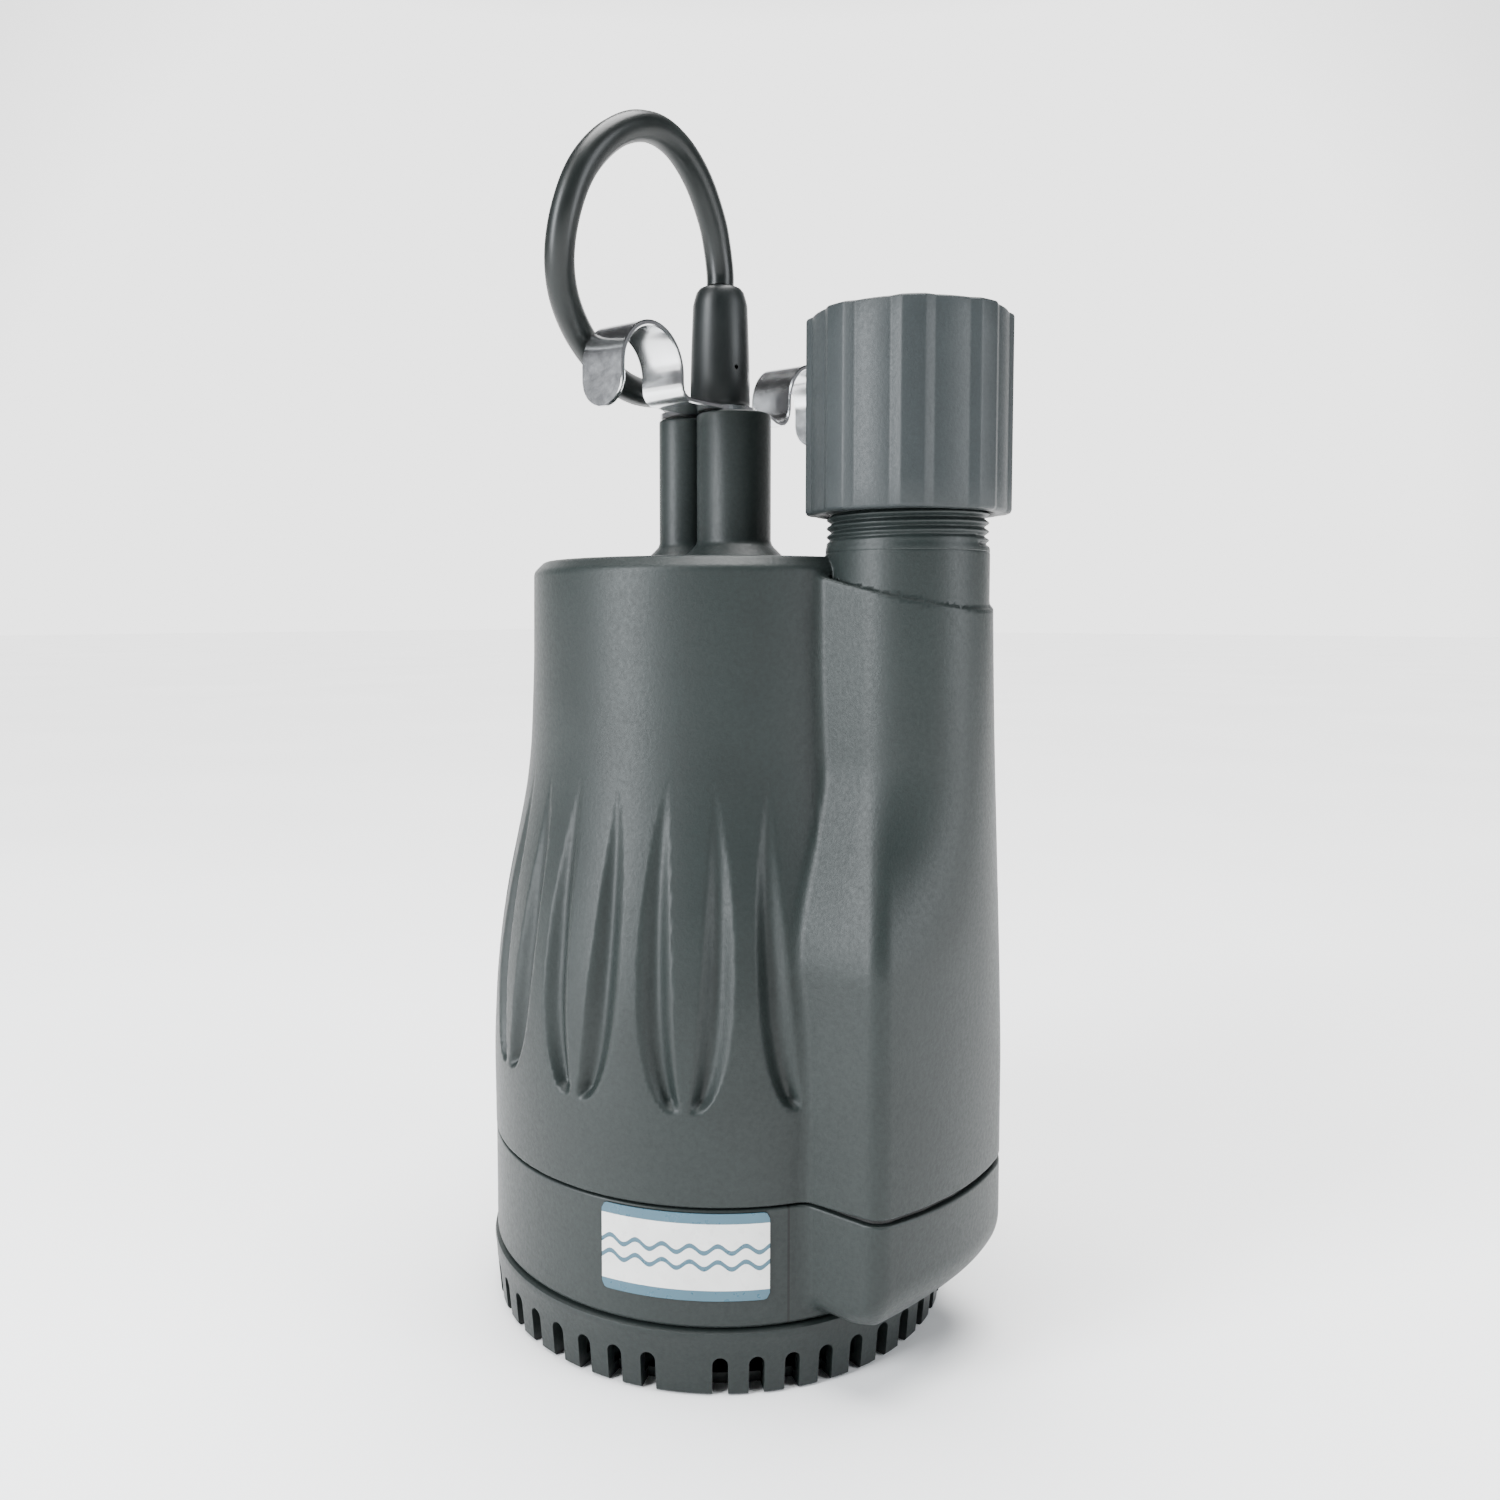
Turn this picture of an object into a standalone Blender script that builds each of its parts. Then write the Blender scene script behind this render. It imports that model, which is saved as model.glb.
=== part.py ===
"""A submersible sump pump: strainer, volute, motor, side discharge, hook bracket and power cord.

Origin: the middle of the strainer's underside. +Z is up along the motor's axis.
+X points to the discharge.
Sizes are in millimetres and become metres where a mesh is made.
"""

import math

import bmesh
import bpy
from mathutils import Vector

MM = 0.001
GAP = 0.3
# Turns shapes that stand off the axis a little, so that their corners don't fall on a neighbour's edges.
OFF_CENTRE_PHASE = 0.11
MERGE = 1e-6

# Strainer: a snap-on cup whose wall is a ring of slots.
FOOT_RADIUS = 64.8
STRAINER_TOP_RADIUS = 66.2
STRAINER_HEIGHT = 16.8
STRAINER_WALL = 2.9
STRAINER_FLOOR = 2.6
SLOT_PITCHES = 45
SLOT_WIDTH = 3.9
SLOT_TOP = 10.2
SLOT_START = -60.0
BLANK_EVERY = 15

# Volute casing and the parting line with the motor housing.
CASING_RADIUS = 65.4
CASING_BOTTOM = 17.2
CASING_TOP = 47.4
CASING_FLOOR_TOP = 22.5
CASING_CAVITY_RADIUS = 61.2
EYE_RADIUS = 13.0
GASKET_BOTTOM = 47.6
GASKET_TOP = 48.6
HOUSING_BOTTOM = 48.8

# Column: the water passage on the housing's side, and the discharge neck on top of it.
NECK_X = 61.4
NECK_RADIUS = 21.08
NECK_BORE = 17.0
NECK_TOP = 238.0
THREAD_START = 209.5
THREAD_PITCH = 2.21
THREAD_DEPTH = 1.15
THREAD_RIDGES = 4
COLUMN_OUTER_RADIUS = 83.5
COLUMN_NEAR_SIDE = 35.9
COLUMN_FAR_SIDE = 28.8
COLUMN_NEAR_CORNER = 6.0
COLUMN_FAR_CORNER = 18.0
COLUMN_HALF_TOP = 22.1
COLUMN_WALL = 3.2
COLUMN_NARROW_FROM = 105.0
COLUMN_NARROW_TO = 157.0
COLUMN_FAR_NARROW_FROM = 73.0
COLUMN_FAR_NARROW_TO = 192.0
COLUMN_TOP_AT_BODY = 203.0
COLUMN_TOP_SLOPE = 0.24

# Motor housing: the profile of its outer wall, as (height, radius).
HOUSING_PROFILE = [
    (HOUSING_BOTTOM, 65.5), (71, 65.7), (78, 65.5), (90, 64.9), (102, 63.8), (112, 62.3), (124, 60.1),
    (136, 57.5), (146, 55.7), (156, 54.5), (176, 53.7), (205, 53.3),
]
HOUSING_TOP = 208.0
CHAMFER = 3.0
SCALLOPS_A_SIDE = 6
SCALLOP_FIRST = 34.5
SCALLOP_PITCH = 26.45
SCALLOP_BOTTOM = 71.0
SCALLOP_TOP = 154.0
SCALLOP_DEPTH = 2.2
CAVITY_PROFILE = [(47.0, 60.0), (100.0, 60.0), (130.0, 54.0), (157.0, 50.3), (175.0, 50.3)]
UPPER_CAVITY = (174.5, 203.5)
UPPER_CAVITY_FLAT_X = 36.0

# Tower with the cord entry, and the boss for the bracket's screw.
TOWER_TOP = 249.9
TOWER = (5.0, 10.6)
BOSS = (-13.5, 7.3)
SKIRT = 5.5
LEAD_X = 1.5
LEAD_BORE = 4.2

# Hook bracket: one bent strip across the tower, along Y.
STRIP_HALF_WIDTH = 7.0
STRIP_THICKNESS = 1.5
STRIP_Z = 251.0
HOOK_Y = 36.9
HOOK_RADIUS = 11.7
HOOK_CENTRE_Z = 257.0
HOOK_TIP_Z = 246.5

# Discharge coupling.
COUPLING_BOTTOM = 218.7
COUPLING_TOP = 268.7
COUPLING_RADIUS = 26.3
COUPLING_VALLEY = 25.3
CORE_LOW = 88.0
CORE_HIGH = 138.0
RUBBER_COLOUR = (0.02, 0.02, 0.02)
ROTOR_PARTS = (
    "shaft", "rotor_core", "rotor_ring_lower", "rotor_ring_upper", "impeller", "impeller_nut", "seal_rotary",
)
COUPLING_RIBS = 8
COUPLING_TURN = -58.3
COUPLING_RIB_HALF = 6.0
COUPLING_RIB_SLOPE = 6.0

# Motor and pump internals on the shaft's axis.
SHAFT_RADIUS = 6.0
MOTOR_SCREW_RADIUS = 55.6
MOTOR_SCREW_ANGLES = (45, 135, 225, 315)
CASING_SCREW_RADIUS = 54.0
CASING_SCREW_ANGLES = (90, 180, 270)
SCREW_SHANK = 1.8

# Cord, its coil and its plug.
CORD = 7.8
BOOT_TOP = 286.0
COIL_CENTRE = (-74.7, 111.8)
COIL_RADIUS = 43.0
COIL_HALF_SECTION = 11.9
COIL_BOTTOM = 0.9
PLUG_AXIS_Z = 12.3
CORD_STEP = 15.0
LEAD_ROUTE = [
    (0, 0, 286.4), (0, 0, 290.0), (0.4, -1.8, 296.6), (1.3, -5.4, 303.4),
    (2.5, -12.8, 311.8), (3.3, -21.8, 317.7), (3.9, -31.5, 319.7), (3.9, -41.3, 317.8),
    (3.1, -50.4, 312.2), (1.4, -57.4, 303.6), (-0.9, -60.6, 293.4), (-4.0, -60.0, 283.4),
    (-7.7, -55.2, 275.0), (-10.8, -47.4, 267.8), (-12.6, -38.2, 261.8), (-13.8, -28.0, 257.4),
    (-16.0, -17.5, 256.3), (-20.3, -6.0, 257.6), (-24.9, 5.5, 258.6), (-29.5, 16.5, 256.9),
    (-33.3, 27.0, 250.8), (-36.4, 35.8, 240.8), (-39.6, 42.2, 226.5), (-43.6, 45.9, 209.0),
    (-49.2, 47.0, 188.5), (-57.2, 45.6, 163.0), (-66.0, 42.9, 133.0), (-73.3, 40.5, 103.5),
    (-78.6, 39.8, 76.0), (-82.9, 42.0, 53.0), (-88.0, 47.0, 37.0), (-94.9, 55.4, 27.2),
]


def turned(profile, segments, centre=(0.0, 0.0), closed=True):
    """A profile of (radius, height) points turned about a vertical axis.

    An open profile starts and ends on the axis.
    """
    bm = bmesh.new()
    phase = 0.0 if centre == (0.0, 0.0) else OFF_CENTRE_PHASE
    rings = []
    for radius, height in profile:
        if radius == 0:
            rings.append([bm.verts.new((centre[0] * MM, centre[1] * MM, height * MM))])
            continue
        angles = [math.tau * i / segments + phase for i in range(segments)]
        rings.append([
            bm.verts.new((
                (centre[0] + radius * math.cos(a)) * MM,
                (centre[1] + radius * math.sin(a)) * MM,
                height * MM,
            ))
            for a in angles
        ])
    pairs = list(zip(rings, rings[1:]))
    if closed:
        pairs.append((rings[-1], rings[0]))
    for low, high in pairs:
        bridge(bm, low, high)
    return bm


def bridge(bm, low, high):
    """Faces between two rings with the same number of points, or between a ring and a single point."""
    count = max(len(low), len(high))
    for i in range(count):
        j = (i + 1) % count
        corners = [low[i % len(low)], low[j % len(low)], high[j % len(high)], high[i % len(high)]]
        bm.faces.new(list(dict.fromkeys(corners)))


def lofted(rings, capped=True):
    """A skin over rings of (x, y, z) points, capped at both ends or closed from last ring to first."""
    bm = bmesh.new()
    loops = [[bm.verts.new((x * MM, y * MM, z * MM)) for x, y, z in ring] for ring in rings]
    for low, high in zip(loops, loops[1:]):
        bridge(bm, low, high)
    if capped:
        bm.faces.new(loops[0])
        bm.faces.new(loops[-1])
    else:
        bridge(bm, loops[-1], loops[0])
    return bm


def prism(outline, low, high):
    """An outline of (x, y) points, extruded from one height to another."""
    return lofted([[(x, y, low) for x, y in outline], [(x, y, high) for x, y in outline]])


def rod(radius, low, high, centre=(0.0, 0.0), segments=16):
    return turned([(0, low), (radius, low), (radius, high), (0, high)], segments, centre, closed=False)


def made(name, bm, colour=(0.1, 0.11, 0.11), roughness=0.55, metallic=0.0):
    """Turns a bmesh into a named object with its own material, faces out and smooth where it is round."""
    bmesh.ops.recalc_face_normals(bm, faces=bm.faces)
    mesh = bpy.data.meshes.new(name)
    bm.to_mesh(mesh)
    bm.free()
    obj = bpy.data.objects.new(name, mesh)
    bpy.context.scene.collection.objects.link(obj)
    give_material(obj, colour, roughness, metallic)
    mesh.shade_smooth()
    mesh.set_sharp_from_angle(angle=math.radians(32))
    return obj


def give_material(obj, colour, roughness, metallic):
    material = bpy.data.materials.new(obj.name)
    material.use_nodes = True
    shader = material.node_tree.nodes["Principled BSDF"]
    shader.inputs["Base Color"].default_value = (*colour, 1)
    shader.inputs["Roughness"].default_value = roughness
    shader.inputs["Metallic"].default_value = metallic
    obj.data.materials.append(material)


def combine(target, bm, operation):
    """Joins or cuts a tool shape into an object with an exact Boolean, and applies it."""
    tool = made("tool", bm)
    tool.data.materials.clear()
    modifier = target.modifiers.new(operation, "BOOLEAN")
    modifier.operation = operation
    modifier.solver = "EXACT"
    modifier.object = tool
    evaluated = target.evaluated_get(bpy.context.evaluated_depsgraph_get())
    mesh = bpy.data.meshes.new_from_object(evaluated)
    target.modifiers.clear()
    old = target.data
    target.data = mesh
    bpy.data.meshes.remove(old)
    mesh.name = target.name
    triangulate(mesh)
    tool_mesh = tool.data
    bpy.data.objects.remove(tool)
    bpy.data.meshes.remove(tool_mesh)


def triangulate(mesh):
    """Splits faces with many corners, so that the next Boolean reads them without slits."""
    bm = bmesh.new()
    bm.from_mesh(mesh)
    bmesh.ops.remove_doubles(bm, verts=bm.verts, dist=MERGE)
    bmesh.ops.triangulate(bm, faces=bm.faces)
    bm.to_mesh(mesh)
    bm.free()


def join(target, bm):
    combine(target, bm, "UNION")


def cut(target, bm):
    combine(target, bm, "DIFFERENCE")


def around(radius, degrees):
    return radius * math.cos(math.radians(degrees)), radius * math.sin(math.radians(degrees))


def ease(start, end, value):
    """0 before start, 1 after end and a smooth step between."""
    t = min(max((value - start) / (end - start), 0.0), 1.0)
    return t * t * (3 - 2 * t)


def low_column_arcs(inset):
    """The lower column's two rounded corners, joined by an outer face concentric with the motor."""
    near_corner = max(COLUMN_NEAR_CORNER - inset, 0.5)
    far_corner = max(COLUMN_FAR_CORNER - inset, 0.5)
    outer = COLUMN_OUTER_RADIUS - inset
    near_y = -(COLUMN_NEAR_SIDE - inset - near_corner)
    far_y = COLUMN_FAR_SIDE - inset - far_corner
    near_x = math.sqrt((outer - near_corner) ** 2 - near_y**2)
    far_x = math.sqrt((outer - far_corner) ** 2 - far_y**2)
    near_end = math.degrees(math.atan2(near_y, near_x))
    far_start = math.degrees(math.atan2(far_y, far_x))
    points = []
    for share in (0.0, 0.33, 0.67, 1.0):
        x, y = around(near_corner, -90 + (near_end + 90) * share)
        points.append((near_x + x, near_y + y))
    points += [around(outer, near_end + (far_start - near_end) * share) for share in (0.25, 0.5, 0.75)]
    for share in (0.0, 0.33, 0.67, 1.0):
        x, y = around(far_corner, far_start + (90 - far_start) * share)
        points.append((far_x + x, far_y + y))
    return points


def column_outline(height, back_x, inset=0.0):
    """The column's section: wide and lopsided below, and a half circle round the neck above."""
    near = ease(COLUMN_NARROW_FROM, COLUMN_NARROW_TO, height)
    far = ease(COLUMN_FAR_NARROW_FROM, COLUMN_FAR_NARROW_TO, height)
    low = low_column_arcs(inset)
    points = []
    for i, (x, y) in enumerate(low):
        share = i / (len(low) - 1)
        top_x, top_y = around(COLUMN_HALF_TOP - inset, -90 + 180 * share)
        weight = near + (far - near) * ease(0.3, 0.7, share)
        points.append((x + (NECK_X + top_x - x) * weight, y + (top_y - y) * weight))
    return [(back_x, points[0][1])] + points + [(back_x, points[-1][1])]


def scallop_depth(degrees, height):
    """How deep the nearest finger scallop lies at this place on the housing's wall."""
    along = (height - SCALLOP_BOTTOM) / (SCALLOP_TOP - SCALLOP_BOTTOM)
    if along <= 0 or along >= 1:
        return 0.0
    nearest = min(
        abs(abs(degrees) - SCALLOP_FIRST - SCALLOP_PITCH * k) for k in range(SCALLOPS_A_SIDE)
    )
    half_angle = 10.5 * min(1.0, along / 0.3) ** 0.5 * min(1.0, (1 - along) / 0.7)
    across = nearest / max(half_angle, 0.01)
    return SCALLOP_DEPTH * max(0.0, 1 - across**2)


def housing_angles():
    """Degrees of the housing's vertical edges: four across each scallop, and a few by the column."""
    angles = {-24.0, -12.0, 0.0, 12.0, 24.0, 180.0}
    for k in range(SCALLOPS_A_SIDE):
        middle = SCALLOP_FIRST + SCALLOP_PITCH * k
        for offset in (-9.5, -3.5, 3.5, 9.5):
            angles.update((middle + offset, -middle - offset))
    return sorted(angles)


def housing_body():
    rings = []
    heights = HOUSING_PROFILE + [(HOUSING_TOP, HOUSING_PROFILE[-1][1] - CHAMFER)]
    for height, radius in heights:
        ring = []
        for degrees in housing_angles():
            x, y = around(radius - scallop_depth(degrees, height), degrees)
            ring.append((x, y, height))
        rings.append(ring)
    return lofted(rings)


def column_block():
    """The column as a solid that reaches back into the housing, with a top that slopes down and outwards."""
    rings = []
    for height in (HOUSING_BOTTOM, 80, 105, 116, 126, 136, 146, 157, 175):
        rings.append([(x, y, height) for x, y in column_outline(height, 30.0)])
    top = column_outline(COLUMN_FAR_NARROW_TO, 30.0)
    rings.append([(x, y, COLUMN_TOP_AT_BODY - COLUMN_TOP_SLOPE * (max(x, 48.0) - 48.0)) for x, y in top])
    return lofted(rings)


def column_passage():
    """The hollow of the column: back wall clear of the motor's cavity, and the neck's bore above."""
    levels = [(47.0, 63.2), (105.0, 63.2), (118.0, 60.6), (131.0, 57.6)]
    levels += [(144.0, 55.2), (157.0, 53.6), (178.0, 53.6)]
    return lofted([
        [(x, y, height) for x, y in column_outline(height, back, COLUMN_WALL)] for height, back in levels
    ])


def neck_profile():
    """The neck's outside: plain, then a few thread ridges, then plain inside the coupling."""
    profile = [(0, 185.0), (NECK_RADIUS, 185.0), (NECK_RADIUS, THREAD_START - 0.6)]
    for k in range(THREAD_RIDGES):
        base = THREAD_START + THREAD_PITCH * k
        profile.append((NECK_RADIUS - THREAD_DEPTH, base))
        profile.append((NECK_RADIUS, base + THREAD_PITCH / 2))
    thread_end = THREAD_START + THREAD_RIDGES * THREAD_PITCH
    profile += [(NECK_RADIUS - 0.6, thread_end), (NECK_RADIUS - 0.6, NECK_TOP), (0, NECK_TOP)]
    return profile


def pillar(centre_x, radius):
    """A cylinder that stands on the housing's top with a sloping skirt at its foot."""
    low = HOUSING_TOP - 2
    profile = [(0, low), (radius + SKIRT + 2, low), (radius, HOUSING_TOP + SKIRT)]
    profile += [(radius, TOWER_TOP), (0, TOWER_TOP)]
    return turned(profile, 16, (centre_x, 0), closed=False)


def motor_housing():
    housing = made("motor_housing", housing_body(), (0.085, 0.1, 0.1))
    join(housing, column_block())
    join(housing, turned(neck_profile(), 22, (NECK_X, 0), closed=False))
    join(housing, pillar(*TOWER))
    join(housing, pillar(*BOSS))
    low, high = CAVITY_PROFILE[0][0], CAVITY_PROFILE[-1][0]
    wall = [(radius, height) for height, radius in CAVITY_PROFILE]
    cut(housing, turned([(0, low)] + wall + [(0, high)], 32, closed=False))
    cut(housing, prism(upper_cavity_outline(), *UPPER_CAVITY))
    cut(housing, column_passage())
    cut(housing, rod(NECK_BORE, 176.0, NECK_TOP + 2, (NECK_X, 0), 24))
    cut(housing, rod(LEAD_BORE, 200.0, TOWER_TOP + 2, (LEAD_X, 0), 12))
    cut(housing, rod(SCREW_SHANK + GAP, 236.0, TOWER_TOP + 2, (BOSS[0], 0), 8))
    for degrees in MOTOR_SCREW_ANGLES:
        place = around(MOTOR_SCREW_RADIUS, degrees)
        join(housing, rod(4.6, 58.6, 82.0, place, 8))
        cut(housing, rod(SCREW_SHANK + GAP, 57.0, 72.0, place, 8))
    return housing


def upper_cavity_outline():
    """A circle inside the housing's top, cut off by a flat on the neck's side."""
    radius = CAVITY_PROFILE[-1][1]
    limit = math.degrees(math.acos(UPPER_CAVITY_FLAT_X / radius))
    steps = 22
    return [around(radius, limit + (360 - 2 * limit) * i / steps) for i in range(steps + 1)]


def strainer_stations():
    """Degrees of the strainer wall's vertical edges, each with whether a slot follows it."""
    half = math.degrees(math.asin(SLOT_WIDTH / 2 / FOOT_RADIUS))
    stations = []
    for k in range(SLOT_PITCHES):
        middle = SLOT_START + 360 / SLOT_PITCHES * k
        is_slot = k % BLANK_EVERY != 0
        stations += [(middle - half, is_slot), (middle + half, False)]
    return stations


def strainer():
    """A cup with a flat floor, whose wall is notched from below into a ring of slots."""
    inner = FOOT_RADIUS - STRAINER_WALL
    section = [
        (FOOT_RADIUS, 0), (FOOT_RADIUS + 0.9, SLOT_TOP), (STRAINER_TOP_RADIUS, STRAINER_HEIGHT - 1.2),
        (STRAINER_TOP_RADIUS - 1, STRAINER_HEIGHT), (inner, STRAINER_HEIGHT), (inner, SLOT_TOP),
        (inner, STRAINER_FLOOR), (inner, 0),
    ]
    bm = bmesh.new()
    columns = []
    stations = strainer_stations()
    for degrees, _ in stations:
        places = [(*around(radius, degrees), height) for radius, height in section]
        columns.append([bm.verts.new((x * MM, y * MM, z * MM)) for x, y, z in places])
    every_span = ((1, 2), (2, 3), (3, 4), (4, 5))
    for i, here in enumerate(columns):
        after = columns[(i + 1) % len(columns)]
        is_slot = stations[i][1]
        spans = every_span + (((1, 5), (6, 7)) if is_slot else ((0, 1), (0, 7), (5, 6)))
        for a, b in spans:
            bm.faces.new((here[a], after[a], after[b], here[b]))
        if is_slot != stations[i - 1][1]:
            bm.faces.new((here[0], here[1], here[5], here[6], here[7]))
    bm.faces.new([column[6] for column in columns])
    bm.faces.new([column[7] for column in columns])
    return made("strainer_base", bm, (0.085, 0.1, 0.1))


def casing_bulge(back_x, shrink_from):
    """The casing's swelling under the column, rounded in towards its underside."""
    rings = []
    for height, inset in shrink_from:
        rings.append([(x, y, height) for x, y in column_outline(HOUSING_BOTTOM, back_x, inset)])
    return lofted(rings)


def scroll_wall():
    """The spiral wall that leads the water round the impeller to the outlet on the +X side."""
    steps = 14
    start, end = 28.0, 332.0
    inner, outer = [], []
    for i in range(steps + 1):
        degrees = start + (end - start) * i / steps
        radius = 31.0 + 14.5 * i / steps
        inner.append(around(radius, degrees))
        outer.append(around(radius + 2.4, degrees))
    return prism(inner + list(reversed(outer)), CASING_FLOOR_TOP - 1, 35.2)


def volute_casing():
    profile = [
        (0, CASING_BOTTOM), (CASING_RADIUS - 1, CASING_BOTTOM), (CASING_RADIUS, CASING_BOTTOM + 1),
        (CASING_RADIUS, CASING_TOP), (0, CASING_TOP),
    ]
    casing = made("volute_casing", turned(profile, 44, closed=False), (0.085, 0.1, 0.1))
    rounding = [(CASING_TOP, 0), (33, 0), (28, 1.0), (24, 3.4), (21, 7.4), (19, 13.0), (18, 17.0)]
    join(casing, casing_bulge(30.0, rounding))
    cut(casing, rod(CASING_CAVITY_RADIUS, CASING_FLOOR_TOP, CASING_TOP + 2, segments=36))
    cut(casing, casing_bulge(40.0, [(CASING_TOP + 2, 3.2), (33, 3.2), (28.5, 5.5), (25.5, 11.0)]))
    cut(casing, rod(EYE_RADIUS, CASING_BOTTOM - 2, CASING_FLOOR_TOP + 2, segments=16))
    join(casing, scroll_wall())
    for degrees in CASING_SCREW_ANGLES:
        place = around(CASING_SCREW_RADIUS, degrees)
        join(casing, rod(4.2, CASING_FLOOR_TOP - 1, 35.3, place, 8))
        cut(casing, rod(SCREW_SHANK + GAP, CASING_BOTTOM - 2, 37.0, place, 8))
    return casing


def casing_gasket():
    """The flat seal between the casing's rim and the housing, following both outlines."""
    disc = rod(CASING_RADIUS - 1.2, GASKET_BOTTOM, GASKET_TOP, segments=40)
    gasket = made("casing_gasket", disc, RUBBER_COLOUR, 0.8)
    join(gasket, prism(column_outline(HOUSING_BOTTOM, 30.0, 1.2), GASKET_BOTTOM + 0.05, GASKET_TOP - 0.05))
    cut(gasket, rod(CASING_CAVITY_RADIUS + 0.3, GASKET_BOTTOM - 1, GASKET_TOP + 1, segments=36))
    cut(gasket, prism(column_outline(HOUSING_BOTTOM, 40.0, COLUMN_WALL), GASKET_BOTTOM - 1, GASKET_TOP + 1))
    return gasket


def seal_plate():
    """The volute's cover: a disc with a hub that holds the fixed half of the shaft seal."""
    profile = [(13.2, 35.6), (60.3, 35.6), (60.3, 38.6), (17, 38.6), (17, 50.2), (13.2, 50.2)]
    plate = made("seal_plate", turned(profile, 26), (0.13, 0.13, 0.13))
    holes = [(MOTOR_SCREW_RADIUS, a) for a in MOTOR_SCREW_ANGLES]
    holes += [(CASING_SCREW_RADIUS, a) for a in CASING_SCREW_ANGLES]
    for radius, degrees in holes:
        cut(plate, rod(SCREW_SHANK + GAP, 34.0, 40.0, around(radius, degrees), 8))
    return plate


def lower_end_bell():
    """The motor's lower end bell, with a pocket for the lower bearing and a spigot for the can."""
    profile = [
        (7.5, 51), (59.5, 51), (59.5, 58), (44.6, 58), (44.6, 63), (41, 63), (41, 58),
        (19.5, 58), (19.5, 62.5), (16.3, 62.5), (16.3, 53), (7.5, 53),
    ]
    bell = made("lower_end_bell", turned(profile, 24), (0.6, 0.61, 0.62), 0.4, 1.0)
    for degrees in MOTOR_SCREW_ANGLES:
        cut(bell, rod(SCREW_SHANK + GAP, 50.0, 60.0, around(MOTOR_SCREW_RADIUS, degrees), 8))
    return bell


def motor_parts():
    """The can, the stator with its windings, the bearings and what sits above the motor."""
    steel = ((0.62, 0.62, 0.6), 0.35, 1.0)
    copper = ((0.62, 0.27, 0.1), 0.4, 0.6)
    made("motor_can", turned([(50.5, 58.3), (50.5, 60.3), (48.3, 60.3), (48.3, 172.6), (6, 172.6), (6, 171.3),
                              (47.1, 171.3), (47.1, 58.3)], 28), *steel)
    ring = turned([(44.9, 60), (46.4, 59.6), (46.8, 60.6), (46.4, 61.6), (44.9, 61.2)], 24)
    made("can_o_ring", ring, RUBBER_COLOUR, 0.8)
    made("stator_core", stator_ring(), (0.36, 0.37, 0.39), 0.45, 0.9)
    for name, low, high in (("winding_lower", 68.0, 87.7), ("winding_upper", 138.3, 152.5)):
        profile = [(25, low + 4), (29, low), (38, low), (42, low + 4), (42, high), (25, high)]
        if name == "winding_upper":
            profile = [(25, low), (42, low), (42, high - 4), (38, high), (29, high), (25, high - 4)]
        made(name, turned(profile, 24), *copper)
    made("upper_end_bell", turned([(16.3, 154.5), (46.8, 154.5), (46.8, 157.5), (19.5, 157.5), (19.5, 168.2),
                                   (3, 168.2), (3, 166), (16.3, 166)], 20), (0.6, 0.61, 0.62), 0.4, 1.0)
    made("lower_bearing", turned([(6.35, 53.3), (16, 53.3), (16, 62.2), (6.35, 62.2)], 16), *steel)
    made("upper_bearing", turned([(6.35, 155.5), (16, 155.5), (16, 164.5), (6.35, 164.5)], 16), *steel)
    capacitor = [(-42, -14), (-40, -17), (-12, -17), (-10, -14), (-10, 14), (-12, 17), (-40, 17), (-42, 14)]
    made("run_capacitor", prism(capacitor, 175.5, 200.0), (0.03, 0.03, 0.03), 0.5)
    protector = [(-4.5, 30.0), (4.5, 30.0), (4.5, 40.0), (-4.5, 40.0)]
    made("thermal_protector", prism(protector, 158.0, 164.0), (0.75, 0.75, 0.7), 0.4, 0.8)
    made("inner_lead", rod(3.0, 170.0, 251.4, (LEAD_X, 0), 12), (0.02, 0.02, 0.02), 0.6)


def stator_ring():
    """A laminated ring with radial slots for the winding, open towards the rotor."""
    slots = 16
    outer, inner = [], []
    pitch = 360 / slots
    for k in range(slots):
        corners = ((0.0, 22.8), (0.3, 22.8), (0.36, 33.5), (0.94, 33.5))
        for i, (share, radius) in enumerate(corners):
            inner.append(around(radius, pitch * (k + share)))
            outer.append(around(46.8, pitch * (k + i / len(corners))))
    levels = ((outer, CORE_LOW), (outer, CORE_HIGH), (inner, CORE_HIGH), (inner, CORE_LOW))
    rings = [[(x, y, z) for x, y in line] for line, z in levels]
    return lofted(rings, capped=False)


def rotor_parts():
    """Everything that turns: shaft, rotor, impeller with its nut, and the turning half of the shaft seal."""
    steel = ((0.7, 0.7, 0.69), 0.25, 1.0)
    profile = [(0, 18.4), (4, 18.4), (4, 33.8)]
    profile += [(SHAFT_RADIUS, 33.8), (SHAFT_RADIUS, 165.5), (0, 165.5)]
    made("shaft", turned(profile, 18, closed=False), *steel)
    core = turned([(6.35, CORE_LOW), (22, CORE_LOW), (22, CORE_HIGH), (6.35, CORE_HIGH)], 22)
    made("rotor_core", core, (0.36, 0.37, 0.39), 0.45, 0.9)
    for name, low, high in (("rotor_ring_lower", 80.0, 87.7), ("rotor_ring_upper", 138.3, 146.0)):
        ring = turned([(12, low), (20.5, low), (20.5, high), (12, high)], 16)
        made(name, ring, (0.7, 0.71, 0.72), 0.4, 1.0)
    impeller()
    made("impeller_nut", turned([(5.0, 18.9), (7.5, 18.9), (7.5, 23.0), (5.0, 23.0)], 6), *steel)
    rotary = turned([(6.35, 34.2), (10, 34.2), (11, 38), (11, 44.6), (6.35, 44.6)], 18)
    made("seal_rotary", rotary, (0.05, 0.05, 0.05), 0.4)
    seat = turned([(6.9, 44.9), (12.9, 44.9), (12.9, 49.8), (6.9, 49.8)], 20)
    made("seal_seat", seat, (0.85, 0.84, 0.8), 0.3)


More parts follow.
